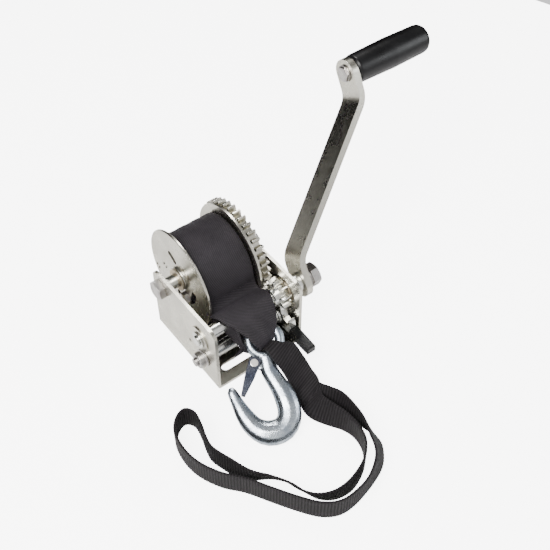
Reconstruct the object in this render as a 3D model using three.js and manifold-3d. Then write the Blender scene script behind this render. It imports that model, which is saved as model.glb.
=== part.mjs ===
// Hand winch for a boat trailer: a strap drum in a folded channel frame, driven through a pinion by a crank.
// Millimetres. X runs along the drum axis towards the crank, Y towards the back, Z up.
// The origin is the middle of the underside of the base.
import * as THREE from "three";
import { mergeVertices } from "three/addons/utils/BufferGeometryUtils.js";
import Module from "manifold-3d";

const wasm = await Module();
wasm.setup();

// ---- Driving dimensions ----

const gap = 0.3; // between pieces that touch
const runningGap = 0.35; // between a shaft or bolt and its bore
const headChamfer = 0.16; // off the corners of a hexagon's end, as a share of its flats
const headChamferSlope = 0.45; // depth of that chamfer to its width

const frameWidth = 93.4; // over the outside of both side plates
const frameLength = 97.4;
const frameHeight = 75;
const sheet = 3; // steel of the folded frame
const foldRadius = 4; // outside of each fold
const plateCornerRadius = 9;
const slotWidth = 8.5;
const slotLength = 65;
const slotInset = 15.2; // from the edge of the base to the slot's middle line
const keyholeWidth = 12; // of the opening that joins the front slot
const keyholeReach = 19.5; // from the front slot's middle line towards the back
const leftEmboss = 1.2; // how far the bearing seat of each plate is pressed outwards
const rightEmboss = 2;
const leftSeatRadius = 10.8;
const rightSeatRadius = 17.8;
const seatWall = 2.1; // of the pressed ring round each bearing seat
const locatingSlot = { y: 17, z: -19.4, length: 0.9, width: 3 }; // in the left plate

const drumFromBack = 12.9; // drum axis from the back edge of the frame
const drumHeight = 60.3;
const gearFromPlate = 4.7; // between the gear and the right plate
const flangeThickness = 2.4;
const leftFlangeClear = 6.8; // between the left flange's rim and the crank shaft
const flangeOverRoot = 4.1; // right flange beyond the roots of the gear teeth
const ropeOval = { near: { radius: 18.2, angle: 1.23 }, far: { radius: 24.6, angle: 1.03 }, width: 6.4 };
const clampSlots = { pairs: [[38.5, -16.3], [24.8, -4.1]], apart: [1.65, 1.1], half: [0.7, -1.05], width: 2 };
const hubRadius = 15.4;
const hubEndRadius = 10.7;
const hubCollarRadius = 12;
const hubCollarLength = 1.2;
const bushWall = 1.9;
const bushFlangeRadius = 11.6;
const bushFlangeLength = 1.8;
const axleTubeWall = 1.3;
const drumBoltRadius = 5;
const drumBoltFlats = 17;
const drumBoltHeadLength = 6.8;
const drumBoltNutLength = 9;
const drumBoltEnd = 2.7; // of the bolt beyond its nut
const strapWidth = 50;
const strapSideRoom = 3; // both sides of the strap together, between the flanges
const strapThickness = 2;
const rollInset = 7.4; // of the wound strap from the left flange's rim

const gearModule = 2.5;
const pressureAngle = THREE.MathUtils.degToRad(20);
const gearTeeth = 39;
const pinionTeeth = 10;
const toothShift = 0.4; // of the pinion, taken back from the gear
const toothRoot = 1.26; // depth of a tooth below the pitch circle, in modules
const pinionTipCut = 0.16; // taken off the pinion's pointed teeth, in modules
const backlash = 0.66;
const gearWidth = 8.1;
const gearWebDepth = 3; // of the recess in the gear's outer face
const gearRim = 6.6; // between the recess and the roots of the teeth
const rivetCount = 3;
const rivetRadius = 3;
const rivetInset = 8; // from the edge of the recess to the rivets

const anchorCircle = 19.5; // strap anchor bolt from the drum axis
const anchorAngle = THREE.MathUtils.degToRad(-127);
const anchorBoltRadius = 3;
const anchorNutFlats = 12;
const anchorNutLength = 5;
const anchorSlotRadius = 23;
const anchorSlotWidth = 7;
const anchorSlotHalfAngle = THREE.MathUtils.degToRad(45);

const pinionHeight = 48.7; // crank shaft axis above the underside
const shaftRadius = 6.35;
const shaftJournalRadius = 5;
const shaftFlat = 4.7; // from the axis to each flat at the crank end
const pinionWidth = 9.9;
const pinionCollarWall = 2.65;
const pinionCollarLength = 4;
const shaftBushWall = 2.3;
const shaftBushFlange = 1.4;
const retainingRingRadius = 8;
const retainingRingLength = 1.1;
const crankSpacerWall = 3.65;
const crankSpacerLength = 12.1;

const crankLean = THREE.MathUtils.degToRad(29.6); // of the arm from vertical, towards the back
const armWidth = 26;
const armThickness = 6.5;
const armFootReach = 15.4; // from the shaft axis to the rounded foot
const armBendStart = 24.8; // from the shaft axis to the first bend
const armBendEnd = 133.5; // to the second bend
const armHeadReach = 169.7; // to the rounded head
const armOffset = 111; // sideways from the foot to the head
const armBendRadius = 7;
const crankWasherRim = 3.15;
const crankWasherThickness = 1.5;
const crankNutFlats = 20;
const crankNutLength = 9;
const crankNutBossWall = 1.65;
const crankNutBossLength = 2.6;

const gripThrow = 156.9; // grip axis from the shaft axis
const gripLength = 87;
const gripRadius = 14.6;
const gripStandoff = 1.6;
const gripStudRadius = 4;
const gripStudHeadRadius = 8;
const gripStudHeadLength = 3.4;
const gripStudReach = 66;
const gripBoreSpare = 3; // bore beyond the end of the stud

const tieRodForward = 4.36; // tie rod axis in front of the shaft axis
const tieRodDrop = 21.8; // and below it
const tieBoltRadius = 4;
const tieSpacerRadius = 6.4;
const tieWasherRadius = 8;
const tieWasherThickness = 1.8;
const tieNutRadius = 8.3;
const tieNutLength = 7.5;
const tieBoltEnd = 2.4; // of the bolt beyond its nut
const tieHeadFlats = 13;
const tieHeadLength = 5.3;
const tieSpotRoom = 0.85; // round the corners of the head, on the face cut for it

const pawlThickness = 6;
const pawlFromPlate = 3.7; // between the pawl and the right plate
const pawlHubRadius = 5.7;
const pawlLeverWidth = 8;
const pawlLeverHeight = 9;
const pawlLeverEnd = 47.4; // in front of the tie rod
const springWire = 1;
const springPitch = 1.15;
const pawlSpringRadius = 5.6;
const pawlSpringTurns = 1.75;
const pawlSpringLeg = 9;

const eyeAside = 3.2; // middle of the hook's eye to the left of the middle of the roll
const eyeForward = 32.26; // in front of the crank shaft
const eyeHeight = 45;
const hookDip = THREE.MathUtils.degToRad(27); // below level, from the eye to the bend
const hookTurn = THREE.MathUtils.degToRad(29.2); // of the hook from straight ahead
const eyeBarRadius = 4.5;
const eyeRingRadius = 13.5; // to the middle of the bar
const latchPivot = { across: -11.2, along: 19.7 };
const latchTip = { across: -23.9, along: 46.2 };
const latchLugRadius = 4.6;
const latchLugThickness = 5;
const latchSheet = 1.2;
const latchInnerWidth = 8;
const latchRivetRadius = 2;
const latchSpringRadius = 3.4;

const tailWidth = 25;
const tailThickness = 2.2;
const tabThickness = 4.6; // two layers of webbing sewn together

// ---- Places worked out from them ----

const leftOuter = -frameWidth / 2;
const leftInner = leftOuter + sheet;
const rightOuter = frameWidth / 2;
const rightInner = rightOuter - sheet;
const frontEdge = -frameLength / 2;
const backEdge = frameLength / 2;

const drumY = backEdge - drumFromBack;
const gearRight = rightInner - gearFromPlate;
const gearLeft = gearRight - gearWidth;
const drumRight = gearLeft - gap - flangeThickness; // inner face of the right flange
const drumLeft = drumRight - strapWidth - strapSideRoom; // inner face of the left flange
const leftFlangeOuter = drumLeft - flangeThickness;
const rollMiddle = (drumLeft + drumRight) / 2;
const rollLeft = rollMiddle - strapWidth / 2;
const rollRight = rollMiddle + strapWidth / 2;

const gearTipRadius = gearModule * (gearTeeth / 2 + 1 - toothShift);
const gearRootRadius = gearModule * (gearTeeth / 2 - toothRoot - toothShift);
const pinionTipRadius = gearModule * (pinionTeeth / 2 + 1 + toothShift - pinionTipCut);
const pinionRootRadius = gearModule * (pinionTeeth / 2 - toothRoot + toothShift);
const gearWebRadius = gearRootRadius - gearRim;
const rivetCircle = gearWebRadius - rivetInset;
const rightFlangeRadius = gearRootRadius + flangeOverRoot;
const axleTubeRadius = drumBoltRadius + gap + axleTubeWall;
const centreDistance = (gearModule * (gearTeeth + pinionTeeth)) / 2;
const leftFlangeRadius = centreDistance - shaftRadius - leftFlangeClear;
const rollRadius = leftFlangeRadius - rollInset; // outside of the wound strap
const pinionDrop = drumHeight - pinionHeight;
const pinionY = drumY - Math.sqrt(centreDistance ** 2 - pinionDrop ** 2);
const meshAngle = Math.atan2(-pinionDrop, pinionY - drumY); // from the drum axis to the pinion axis

const pinionRight = rightInner - gap;
const pinionLeft = pinionRight - pinionWidth;
const leftSeat = leftInner - leftEmboss; // inner face of each pressed bearing seat
const rightSeat = rightInner + rightEmboss;
const leftBushOuter = leftOuter - leftEmboss;
const rightBushOuter = rightOuter + rightEmboss;
const spacerLeft = rightBushOuter + gap;
const armInner = spacerLeft + crankSpacerLength + gap; // face of the arm's foot that bears on the spacer
const armOuter = armInner + armThickness;
const headInner = armInner + armOffset; // face of the arm's head towards the frame
const headOuter = headInner + armThickness;

const tieY = pinionY - tieRodForward;
const tieZ = pinionHeight - tieRodDrop;
const pawlRight = rightInner - pawlFromPlate;
const pawlLeft = pawlRight - pawlThickness;
const tieWasherRight = pawlLeft - gap - 0.4;
const tieSpacerRight = tieWasherRight - tieWasherThickness - gap;
const eyePoint = new THREE.Vector3(rollMiddle - eyeAside, pinionY - eyeForward, eyeHeight);

// ---- Materials ----

const finish = (color, roughness, metalness) => new THREE.MeshStandardMaterial({ color, roughness, metalness });
const zincPlate = () => finish(0xb9b6a8, 0.38, 0.85);
const zincFastener = () => finish(0x9a938c, 0.4, 0.85);
const brightSteel = () => finish(0xd8d8d4, 0.25, 1);
const forgedZinc = () => finish(0xa9b2ba, 0.3, 0.95);
const bronze = () => finish(0x8d7f63, 0.45, 0.8);
const blackPlastic = () => finish(0x17171a, 0.45, 0);
const strapFabric = () => finish(0x2b282d, 0.85, 0);
const webbingFabric = () => finish(0x242126, 0.9, 0);

// ---- Solids ----

const xAxis = new THREE.Vector3(1, 0, 0);
const yAxis = new THREE.Vector3(0, 1, 0);
const zAxis = new THREE.Vector3(0, 0, 1);

// Six times the volume inside a triangle mesh, negative when its faces point in.
function signedVolume(points, faces) {
  const corner = (i) => new THREE.Vector3().fromArray(points, 3 * i);
  let sum = 0;
  for (let i = 0; i < faces.length; i += 3) {
    sum += corner(faces[i]).dot(corner(faces[i + 1]).cross(corner(faces[i + 2])));
  }
  return sum;
}

// The solid inside a closed geometry, with shared corners joined and its faces pointing out.
function solidOf(geometry) {
  const bare = new THREE.BufferGeometry().setAttribute("position", geometry.getAttribute("position"));
  bare.setIndex(geometry.index);
  const merged = mergeVertices(bare, 1e-4);
  const points = merged.getAttribute("position").array;
  const kept = [];
  for (let i = 0; i < merged.index.count; i += 3) {
    const [a, b, c] = merged.index.array.subarray(i, i + 3);
    if (a !== b && b !== c && c !== a) kept.push(a, b, c);
  }
  if (signedVolume(points, kept) < 0) kept.reverse();
  const mesh = new wasm.Mesh({ numProp: 3, vertProperties: points, triVerts: new Uint32Array(kept) });
  return new wasm.Manifold(mesh);
}

function geometryOf(solid) {
  const mesh = solid.getMesh();
  const geometry = new THREE.BufferGeometry();
  geometry.setAttribute("position", new THREE.BufferAttribute(mesh.vertProperties, 3));
  geometry.setIndex(new THREE.BufferAttribute(mesh.triVerts, 1));
  return geometry;
}

const union = (...solids) => solids.reduce((whole, next) => whole.add(next));
const cut = (body, ...tools) => tools.reduce((whole, tool) => whole.subtract(tool), body);
const bodyIn = (solid, matrix) => solidOf(geometryOf(solid).applyMatrix4(matrix));

// A named mesh in a group. The body is a solid or a closed geometry.
function place(group, name, body, material) {
  const geometry = body.isBufferGeometry ? body : geometryOf(body);
  const mesh = new THREE.Mesh(geometry, material);
  mesh.name = name;
  group.add(mesh);
}

// A body turned about the X axis. The closed profile lists pairs of place along X and radius.
function turned(profile, segments = 20) {
  const points = profile.map(([x, radius]) => new THREE.Vector2(radius, x));
  points.push(points[0].clone());
  return solidOf(new THREE.LatheGeometry(points, segments).rotateZ(-Math.PI / 2));
}

const rod = (x0, x1, radius, segments = 20) => turned([[x0, 0], [x1, 0], [x1, radius], [x0, radius]], segments);

const tube = (x0, x1, inner, outer, segments = 20) =>
  turned([[x0, inner], [x1, inner], [x1, outer], [x0, outer]], segments);

const moved = (solid, y, z) => solid.translate([0, y, z]);

const outline = (points) => new THREE.Shape(points.map(([a, b]) => new THREE.Vector2(a, b)));

// An outline in Y and Z, carried along X.
function acrossX(shape, x0, x1, curveSegments = 12) {
  const options = { depth: x1 - x0, bevelEnabled: false, curveSegments };
  const geometry = new THREE.ExtrudeGeometry(shape, options);
  geometry.applyMatrix4(new THREE.Matrix4().makeBasis(yAxis, zAxis, xAxis));
  return solidOf(geometry.translate(x0, 0, 0));
}

// An outline in X and Z, carried along Y.
function acrossY(shape, y0, y1, curveSegments = 8) {
  const options = { depth: y1 - y0, bevelEnabled: false, curveSegments };
  const geometry = new THREE.ExtrudeGeometry(shape, options).rotateX(Math.PI / 2);
  return solidOf(geometry.translate(0, y1, 0));
}

// An outline in X and Y, carried along Z.
function acrossZ(shape, z0, z1, curveSegments = 8) {
  const options = { depth: z1 - z0, bevelEnabled: false, curveSegments };
  return solidOf(new THREE.ExtrudeGeometry(shape, options).translate(0, 0, z0));
}

// A closed polygon whose corners are rounded. Each corner is [a, b, radius].
function roundedShape(corners) {
  const shape = new THREE.Shape();
  corners.forEach(([a, b, radius], i) => {
    const corner = new THREE.Vector2(a, b);
    const before = new THREE.Vector2(...corners.at(i - 1));
    const after = new THREE.Vector2(...corners[(i + 1) % corners.length]);
    const enter = before.sub(corner).setLength(radius).add(corner);
    const leave = after.sub(corner).setLength(radius).add(corner);
    if (i === 0) shape.moveTo(enter.x, enter.y);
    else shape.lineTo(enter.x, enter.y);
    if (radius > 0) shape.quadraticCurveTo(a, b, leave.x, leave.y);
  });
  shape.closePath();
  return shape;
}

// A slot with round ends, its middle line from one point to the other.
function slotShape(from, to, width) {
  const start = new THREE.Vector2(...from);
  const end = new THREE.Vector2(...to);
  const heading = end.clone().sub(start).angle();
  const shape = new THREE.Shape();
  shape.absarc(end.x, end.y, width / 2, heading - Math.PI / 2, heading + Math.PI / 2, false);
  shape.absarc(start.x, start.y, width / 2, heading + Math.PI / 2, heading + 1.5 * Math.PI, false);
  shape.closePath();
  return shape;
}

// A hexagon in Y and Z from the width over its flats, with a corner at the given angle.
function hexagon(flats, turn = 0) {
  const radius = flats / Math.sqrt(3);
  const corner = (i) => [radius * Math.cos(turn + (i * Math.PI) / 3), radius * Math.sin(turn + (i * Math.PI) / 3)];
  return outline([0, 1, 2, 3, 4, 5].map(corner));
}

// A hexagonal head or nut whose outer end has its corners chamfered.
function hexHead(x0, x1, flats, outerEnd, turn = 0) {
  const corner = flats / Math.sqrt(3);
  const chamfer = headChamfer * flats;
  const depth = chamfer * headChamferSlope;
  const low = outerEnd < x1 ? x0 + depth : x0;
  const high = outerEnd < x1 ? x1 : x1 - depth;
  const profile = [[x0, 0], [x1, 0], [x1, 2 * flats], [x0, 2 * flats]];
  if (outerEnd < x1) profile.splice(2, 2, [x1, corner + 1], [low, corner + 0.01], [x0, corner - chamfer]);
  else profile.splice(2, 2, [x1, corner - chamfer], [high, corner + 0.01], [x0, corner + 1]);
  return acrossX(hexagon(flats, turn), x0, x1).intersect(turned(profile, 18));
}

// ---- Gearing ----

const involute = (angle) => Math.tan(angle) - angle;

// The outline of a spur gear in Y and Z. The phase is the angle of the middle of one tooth.
function gearShape(teeth, shift, tipRadius, rootRadius, phase) {
  const pitchRadius = (gearModule * teeth) / 2;
  const baseRadius = pitchRadius * Math.cos(pressureAngle);
  const thickness = gearModule * (Math.PI / 2 + 2 * shift * Math.tan(pressureAngle)) - backlash / 2;
  const halfAngle = (radius) => {
    const here = Math.acos(Math.min(1, baseRadius / radius));
    return thickness / (2 * pitchRadius) + involute(pressureAngle) - involute(here);
  };
  const start = Math.max(baseRadius, rootRadius);
  const flank = [0, 0.5, 1].map((t) => start + t * (tipRadius - start));
  const points = [];
  const add = (radius, angle) => points.push([radius * Math.cos(angle), radius * Math.sin(angle)]);
  for (let tooth = 0; tooth < teeth; tooth++) {
    const middle = phase + (tooth * 2 * Math.PI) / teeth;
    if (rootRadius < start) add(rootRadius, middle - halfAngle(start));
    flank.forEach((radius) => add(radius, middle - halfAngle(radius)));
    flank.toReversed().forEach((radius) => add(radius, middle + halfAngle(radius)));
    if (rootRadius < start) add(rootRadius, middle + halfAngle(start));
  }
  return outline(points);
}

// ---- Strips of fabric ----

// A strip through stations of a left edge and a right edge, with the same thickness all along.
function strip(stations, thickness) {
  const points = [];
  stations.forEach(([left, right], i) => {
    const before = stations[Math.max(i - 1, 0)];
    const after = stations[Math.min(i + 1, stations.length - 1)];
    const middle = (pair) => pair[0].clone().add(pair[1]).multiplyScalar(0.5);
    const ahead = middle(after).sub(middle(before));
    const normal = ahead.cross(right.clone().sub(left)).setLength(thickness / 2);
    points.push(left.clone().add(normal), right.clone().add(normal));
    points.push(right.clone().sub(normal), left.clone().sub(normal));
  });
  return solidOf(sectionsGeometry(points, 4));
}

// A closed body through rings of the same number of points, with flat ends.
function sectionsGeometry(points, ring) {
  const rings = points.length / ring;
  const faces = [];
  for (let i = 0; i + 1 < rings; i++) {
    for (let j = 0; j < ring; j++) {
      const a = i * ring + j;
      const b = i * ring + ((j + 1) % ring);
      faces.push(a, b, b + ring, a, b + ring, a + ring);
    }
  }
  const last = (rings - 1) * ring;
  for (let j = 1; j + 1 < ring; j++) {
    faces.push(0, j + 1, j);
    faces.push(last, last + j, last + j + 1);
  }
  const geometry = new THREE.BufferGeometry().setFromPoints(points);
  geometry.setIndex(faces);
  return geometry;
}

// Points spread along a smooth curve through a list.
const smooth = (list, count) => new THREE.CatmullRomCurve3(list, false, "centripetal").getSpacedPoints(count);

// ---- Frame ----

function framePlateOutline() {
  const r = plateCornerRadius;
  return roundedShape([
    [frontEdge, -1, 0], [backEdge, -1, 0], [backEdge, frameHeight, r], [frontEdge, frameHeight, r],
  ]);
}

function foldedChannel() {
  const outer = roundedShape([
    [leftOuter, 0, foldRadius], [rightOuter, 0, foldRadius],
    [rightOuter, frameHeight + 1, 0], [leftOuter, frameHeight + 1, 0],
  ]);
  const inside = foldRadius - sheet;
  const inner = roundedShape([
    [leftInner, sheet, inside], [rightInner, sheet, inside],
    [rightInner, frameHeight + 2, 0], [leftInner, frameHeight + 2, 0],
  ]);
  const channel = acrossY(outer, frontEdge, backEdge).subtract(acrossY(inner, frontEdge - 1, backEdge + 1));
  return channel.intersect(acrossX(framePlateOutline(), leftOuter - 1, rightOuter + 1));
}

function baseSlots() {
  const frontSlotY = frontEdge + slotInset;
  const backSlotY = backEdge - slotInset;
  const half = (slotLength - slotWidth) / 2;
  const slotAt = (y) => acrossZ(slotShape([-half, y], [half, y], slotWidth), -1, sheet + 1);
  const keyhole = roundedShape([
    [-keyholeWidth / 2, frontSlotY, 0], [keyholeWidth / 2, frontSlotY, 0],
    [keyholeWidth / 2, frontSlotY + keyholeReach, 3], [-keyholeWidth / 2, frontSlotY + keyholeReach, 3],
  ]);
  return union(slotAt(frontSlotY), slotAt(backSlotY), acrossZ(keyhole, -1, sheet + 1));
}

function frameChannel() {
  const at = (solid) => moved(solid, pinionY, pinionHeight);
  const leftBoss = at(rod(leftOuter - leftEmboss, leftOuter + 1, leftSeatRadius + seatWall, 28));
  const rightBoss = at(rod(rightOuter - 1, rightOuter + rightEmboss, rightSeatRadius + seatWall, 32));
  const leftPocket = at(rod(leftSeat, leftInner + 1, leftSeatRadius, 28));
  const rightPocket = at(rod(rightInner - 1, rightSeat, rightSeatRadius, 32));
  const leftBore = at(rod(leftOuter - 5, leftInner + 5, shaftJournalRadius + runningGap + shaftBushWall + gap));
  const rightBore = at(rod(rightInner - 5, rightOuter + 5, shaftRadius + runningGap + shaftBushWall + gap));
  const through = (radius, y, z) => moved(rod(leftOuter - 5, rightOuter + 5, radius), y, z);
  const spotRadius = tieHeadFlats / Math.sqrt(3) + tieSpotRoom;
  const headSeat = moved(rod(rightOuter, rightOuter + rightEmboss + 1, spotRadius), tieY, tieZ);
  const { y, z, length, width } = locatingSlot;
  const locator = acrossX(slotShape([y, z], [y + length, z], width), leftOuter - 1, leftInner + 1);
  const body = union(foldedChannel(), leftBoss, rightBoss);
  return cut(
    body, baseSlots(), leftPocket, rightPocket, leftBore, rightBore, at(locator), headSeat,
    through(drumBoltRadius + gap, drumY, drumHeight), through(tieBoltRadius + gap, tieY, tieZ),
  );
}

// ---- Drum axle ----

function drumBolt() {
  const headEnd = leftOuter - gap - drumBoltHeadLength;
  const head = hexHead(headEnd, leftOuter - gap, drumBoltFlats, headEnd, 0.3);
  const shank = rod(leftOuter - gap - 1, rightOuter + gap + drumBoltNutLength + drumBoltEnd, drumBoltRadius, 24);
  return moved(head.add(shank), drumY, drumHeight);
}

function drumBoltNut() {
  const left = rightOuter + gap;
  const right = left + drumBoltNutLength;
  const nut = hexHead(left, right, drumBoltFlats, right, 0.1);
  return moved(nut.subtract(rod(left - 1, right + 1, drumBoltRadius + gap, 24)), drumY, drumHeight);
}

const axleTube = () =>
  moved(tube(leftInner + gap, rightInner - gap, drumBoltRadius + gap, axleTubeRadius), drumY, drumHeight);

// ---- Drum, about its own axis ----

const bushOuterRadius = axleTubeRadius + runningGap + bushWall;
const hubLeftEnd = leftFlangeOuter - gap - hubCollarLength;
const hubRightEnd = gearRight - gearWebDepth + gap + hubCollarLength;

function drumHub() {
  const bore = bushOuterRadius + gap;
  return turned([
    [hubLeftEnd, bore], [hubLeftEnd, hubCollarRadius], [leftFlangeOuter - gap, hubCollarRadius],
    [leftFlangeOuter - gap, hubEndRadius], [drumLeft + gap, hubEndRadius], [drumLeft + gap, hubRadius],
    [drumRight - gap, hubRadius], [drumRight - gap, hubEndRadius],
    [gearRight - gearWebDepth + gap, hubEndRadius], [gearRight - gearWebDepth + gap, hubCollarRadius],
    [hubRightEnd, hubCollarRadius], [hubRightEnd, bore],
  ], 24);
}

// A flanged bush in one end of the hub. The side is -1 for the left and 1 for the right.
function drumBush(side) {
  const mouth = (side < 0 ? hubLeftEnd : hubRightEnd) + side * gap;
  const inner = axleTubeRadius + runningGap;
  const outerFace = mouth + side * bushFlangeLength;
  const innerEnd = mouth - side * 14;
  return turned([
    [innerEnd, inner], [innerEnd, bushOuterRadius], [mouth, bushOuterRadius],
    [mouth, bushFlangeRadius - 1], [outerFace - side * 0.6, bushFlangeRadius],
    [outerFace, bushFlangeRadius - 0.6], [outerFace, inner],
  ]);
}

const onCircle = (radius, angle) => [radius * Math.cos(angle), radius * Math.sin(angle)];

// The curved opening beside the strap anchor, through which the strap's sewn loop is fitted.
function anchorSlot(x0, x1) {
  const from = anchorAngle - anchorSlotHalfAngle;
  const to = anchorAngle + anchorSlotHalfAngle;
  const inner = anchorSlotRadius - anchorSlotWidth / 2;
  const outer = anchorSlotRadius + anchorSlotWidth / 2;
  const shape = new THREE.Shape();
  shape.absarc(0, 0, outer, from, to, false);
  shape.absarc(...onCircle(anchorSlotRadius, to), anchorSlotWidth / 2, to, to + Math.PI, false);
  shape.absarc(0, 0, inner, to, from, true);
  shape.absarc(...onCircle(anchorSlotRadius, from), anchorSlotWidth / 2, from + Math.PI, from + 2 * Math.PI, false);
  return acrossX(shape, x0, x1, 10);
}

const anchorHole = (x0, x1) => moved(rod(x0, x1, anchorBoltRadius + gap, 20), ...onCircle(anchorCircle, anchorAngle));

// The oval hole for a wire rope and the two pairs of small slots for its clamp.
function ropeHoles(x0, x1) {
  const { pairs, apart, half, width } = clampSlots;
  const slots = pairs.flatMap(([y, z]) => [-1, 1].map((side) => {
    const middle = [y + side * apart[0], z + side * apart[1]];
    const from = [middle[0] - half[0], middle[1] - half[1]];
    const to = [middle[0] + half[0], middle[1] + half[1]];
    return acrossX(slotShape(from, to, width), x0, x1, 4);
  }));
  const { near, far } = ropeOval;
  const oval = slotShape(onCircle(near.radius, near.angle), onCircle(far.radius, far.angle), ropeOval.width);
  return union(acrossX(oval, x0, x1, 8), ...slots);
}

function leftFlange() {
  const bevel = 0.5;
  const disc = turned([
    [leftFlangeOuter, hubEndRadius + gap], [drumLeft, hubEndRadius + gap], [drumLeft, leftFlangeRadius - bevel],
    [drumLeft - bevel, leftFlangeRadius], [leftFlangeOuter + bevel, leftFlangeRadius],
    [leftFlangeOuter, leftFlangeRadius - bevel],
  ], 60);
  const x0 = leftFlangeOuter - 1;
  const x1 = drumLeft + 1;
  return cut(disc, anchorSlot(x0, x1), anchorHole(x0, x1), ropeHoles(x0, x1));
}

const rivetAngle = (i) => anchorAngle + Math.PI / 3 + (i * 2 * Math.PI) / rivetCount;
const rivetHoles = (x0, x1) =>
  union(...Array.from({ length: rivetCount }, (_, i) =>
    moved(rod(x0, x1, rivetRadius + gap, 20), ...onCircle(rivetCircle, rivetAngle(i)))));

function rightFlange() {
  const outer = drumRight + flangeThickness;
  const dish = 0.9;
  const disc = turned([
    [drumRight, hubEndRadius + gap], [outer, hubEndRadius + gap], [outer, rightFlangeRadius - 5],
    [outer - dish, rightFlangeRadius - 3.2], [outer - dish, rightFlangeRadius],
    [drumRight - dish, rightFlangeRadius], [drumRight - dish, rightFlangeRadius - 3.2],
    [drumRight, rightFlangeRadius - 5],
  ], 60);
  return cut(disc, anchorHole(drumRight - 1, outer + 1), rivetHoles(drumRight - 1, outer + 1));
}

function drumGear() {
  const phase = meshAngle + Math.PI / gearTeeth;
  const blank = acrossX(gearShape(gearTeeth, -toothShift, gearTipRadius, gearRootRadius, phase), gearLeft, gearRight);
  const web = rod(gearRight - gearWebDepth, gearRight + 1, gearWebRadius, 36);
  const hubBore = rod(gearLeft - 1, gearRight + 1, hubEndRadius + gap, 24);
  const holes = [anchorHole(gearLeft - 1, gearRight + 1), rivetHoles(gearLeft - 1, gearRight + 1)];
  return cut(blank, web, hubBore, ...holes);
}

function gearRivet(i) {
  const webFace = gearRight - gearWebDepth;
  const body = turned([
    [drumRight + 0.1, 0], [drumRight + 0.1, rivetRadius], [webFace + gap, rivetRadius],
    [webFace + gap, rivetRadius + 2.4], [webFace + gap + 1.1, rivetRadius + 1.6], [webFace + gap + 1.7, 0],
  ], 20);
  return moved(body, ...onCircle(rivetCircle, rivetAngle(i)));
}

function strapRoll() {
  const roll = tube(rollLeft, rollRight, hubRadius + gap, rollRadius, 48);
  return roll.subtract(moved(rod(rollLeft - 1, rollRight + 1, anchorBoltRadius + gap, 20),
    ...onCircle(anchorCircle, anchorAngle)));
}

function anchorBolt() {
  const head = gearRight - gearWebDepth + gap;
  const body = hexHead(head, head + 4, 10, head + 4, 0.2);
  const shank = rod(leftFlangeOuter - gap - anchorNutLength - 1.5, head + 1, anchorBoltRadius, 20);
  return moved(body.add(shank), ...onCircle(anchorCircle, anchorAngle));
}

function anchorNut() {
  const right = leftFlangeOuter - gap;
  const left = right - anchorNutLength;
  const nut = hexHead(left, right, anchorNutFlats, left, 0.75);
  return moved(nut.subtract(rod(left - 1, right + 1, anchorBoltRadius + gap, 20)),
    ...onCircle(anchorCircle, anchorAngle));
}

// ---- Crank shaft and pinion, about the shaft axis ----

function pinionBody() {
  const collarRadius = shaftRadius + pinionCollarWall;
  const shape = gearShape(pinionTeeth, toothShift, pinionTipRadius, pinionRootRadius, meshAngle + Math.PI);
  const collar = turned([
    [pinionLeft - pinionCollarLength, 0], [pinionLeft + 1, 0], [pinionLeft + 1, collarRadius],
    [pinionLeft - pinionCollarLength + 0.8, collarRadius],
    [pinionLeft - pinionCollarLength, collarRadius - 0.8],
  ], 24);
  const teeth = acrossX(shape, pinionLeft, pinionRight);
  return teeth.add(collar).subtract(rod(pinionLeft - 9, pinionRight + 1, shaftRadius + gap));
}

const ringGrooveLeft = leftBushOuter - gap - retainingRingLength - gap;

function leftShaftBush() {
  const inner = shaftJournalRadius + runningGap;
  const outer = inner + shaftBushWall;
  return turned([
    [leftBushOuter, inner], [leftBushOuter, outer], [leftSeat + gap, outer], [leftSeat + gap, outer + 2],
    [leftSeat + gap + shaftBushFlange, outer + 2], [leftSeat + gap + shaftBushFlange, inner],
  ]);
}

function rightShaftBush() {
  const inner = shaftRadius + runningGap;
  const outer = inner + shaftBushWall;
  return turned([
    [rightBushOuter, inner], [rightBushOuter, outer], [rightSeat - gap, outer], [rightSeat - gap, outer + 3],
    [rightSeat - gap - shaftBushFlange, outer + 3], [rightSeat - gap - shaftBushFlange, inner],
  ]);
}

function retainingRing() {
  const right = leftBushOuter - gap;
  return tube(right - retainingRingLength, right, shaftJournalRadius - 0.5 + gap, retainingRingRadius, 20);
}

const nutEnd = armOuter + gap + crankWasherThickness + gap + crankNutBossLength + crankNutLength;
const shaftEnd = nutEnd + 1.2;

function shaftBody() {
  const neck = leftSeat + gap + shaftBushFlange + gap;
  const grooveRadius = shaftJournalRadius - 0.5;
  const bar = turned([
    [ringGrooveLeft - 1.6, 0], [shaftEnd, 0], [shaftEnd, shaftRadius - 1], [shaftEnd - 1, shaftRadius],
    [neck, shaftRadius], [neck, shaftJournalRadius], [leftBushOuter, shaftJournalRadius],
    [leftBushOuter, grooveRadius], [ringGrooveLeft, grooveRadius], [ringGrooveLeft, shaftJournalRadius],
    [ringGrooveLeft - 1.2, shaftJournalRadius], [ringGrooveLeft - 1.6, shaftJournalRadius - 0.4],
  ]);
  const flatBox = (side) => acrossX(outline([
    [side * shaftFlat, -9], [side * 9, -9], [side * 9, 9], [side * shaftFlat, 9],
  ]), armInner - gap, armOuter + gap);
  return cut(bar, flatBox(-1), flatBox(1));
}

const crankSpacer = () => tube(spacerLeft, spacerLeft + crankSpacerLength, shaftRadius + gap, shaftRadius + crankSpacerWall);

// ---- Crank arm. Here Z runs from the shaft to the grip and Y across the bar ----

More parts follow.
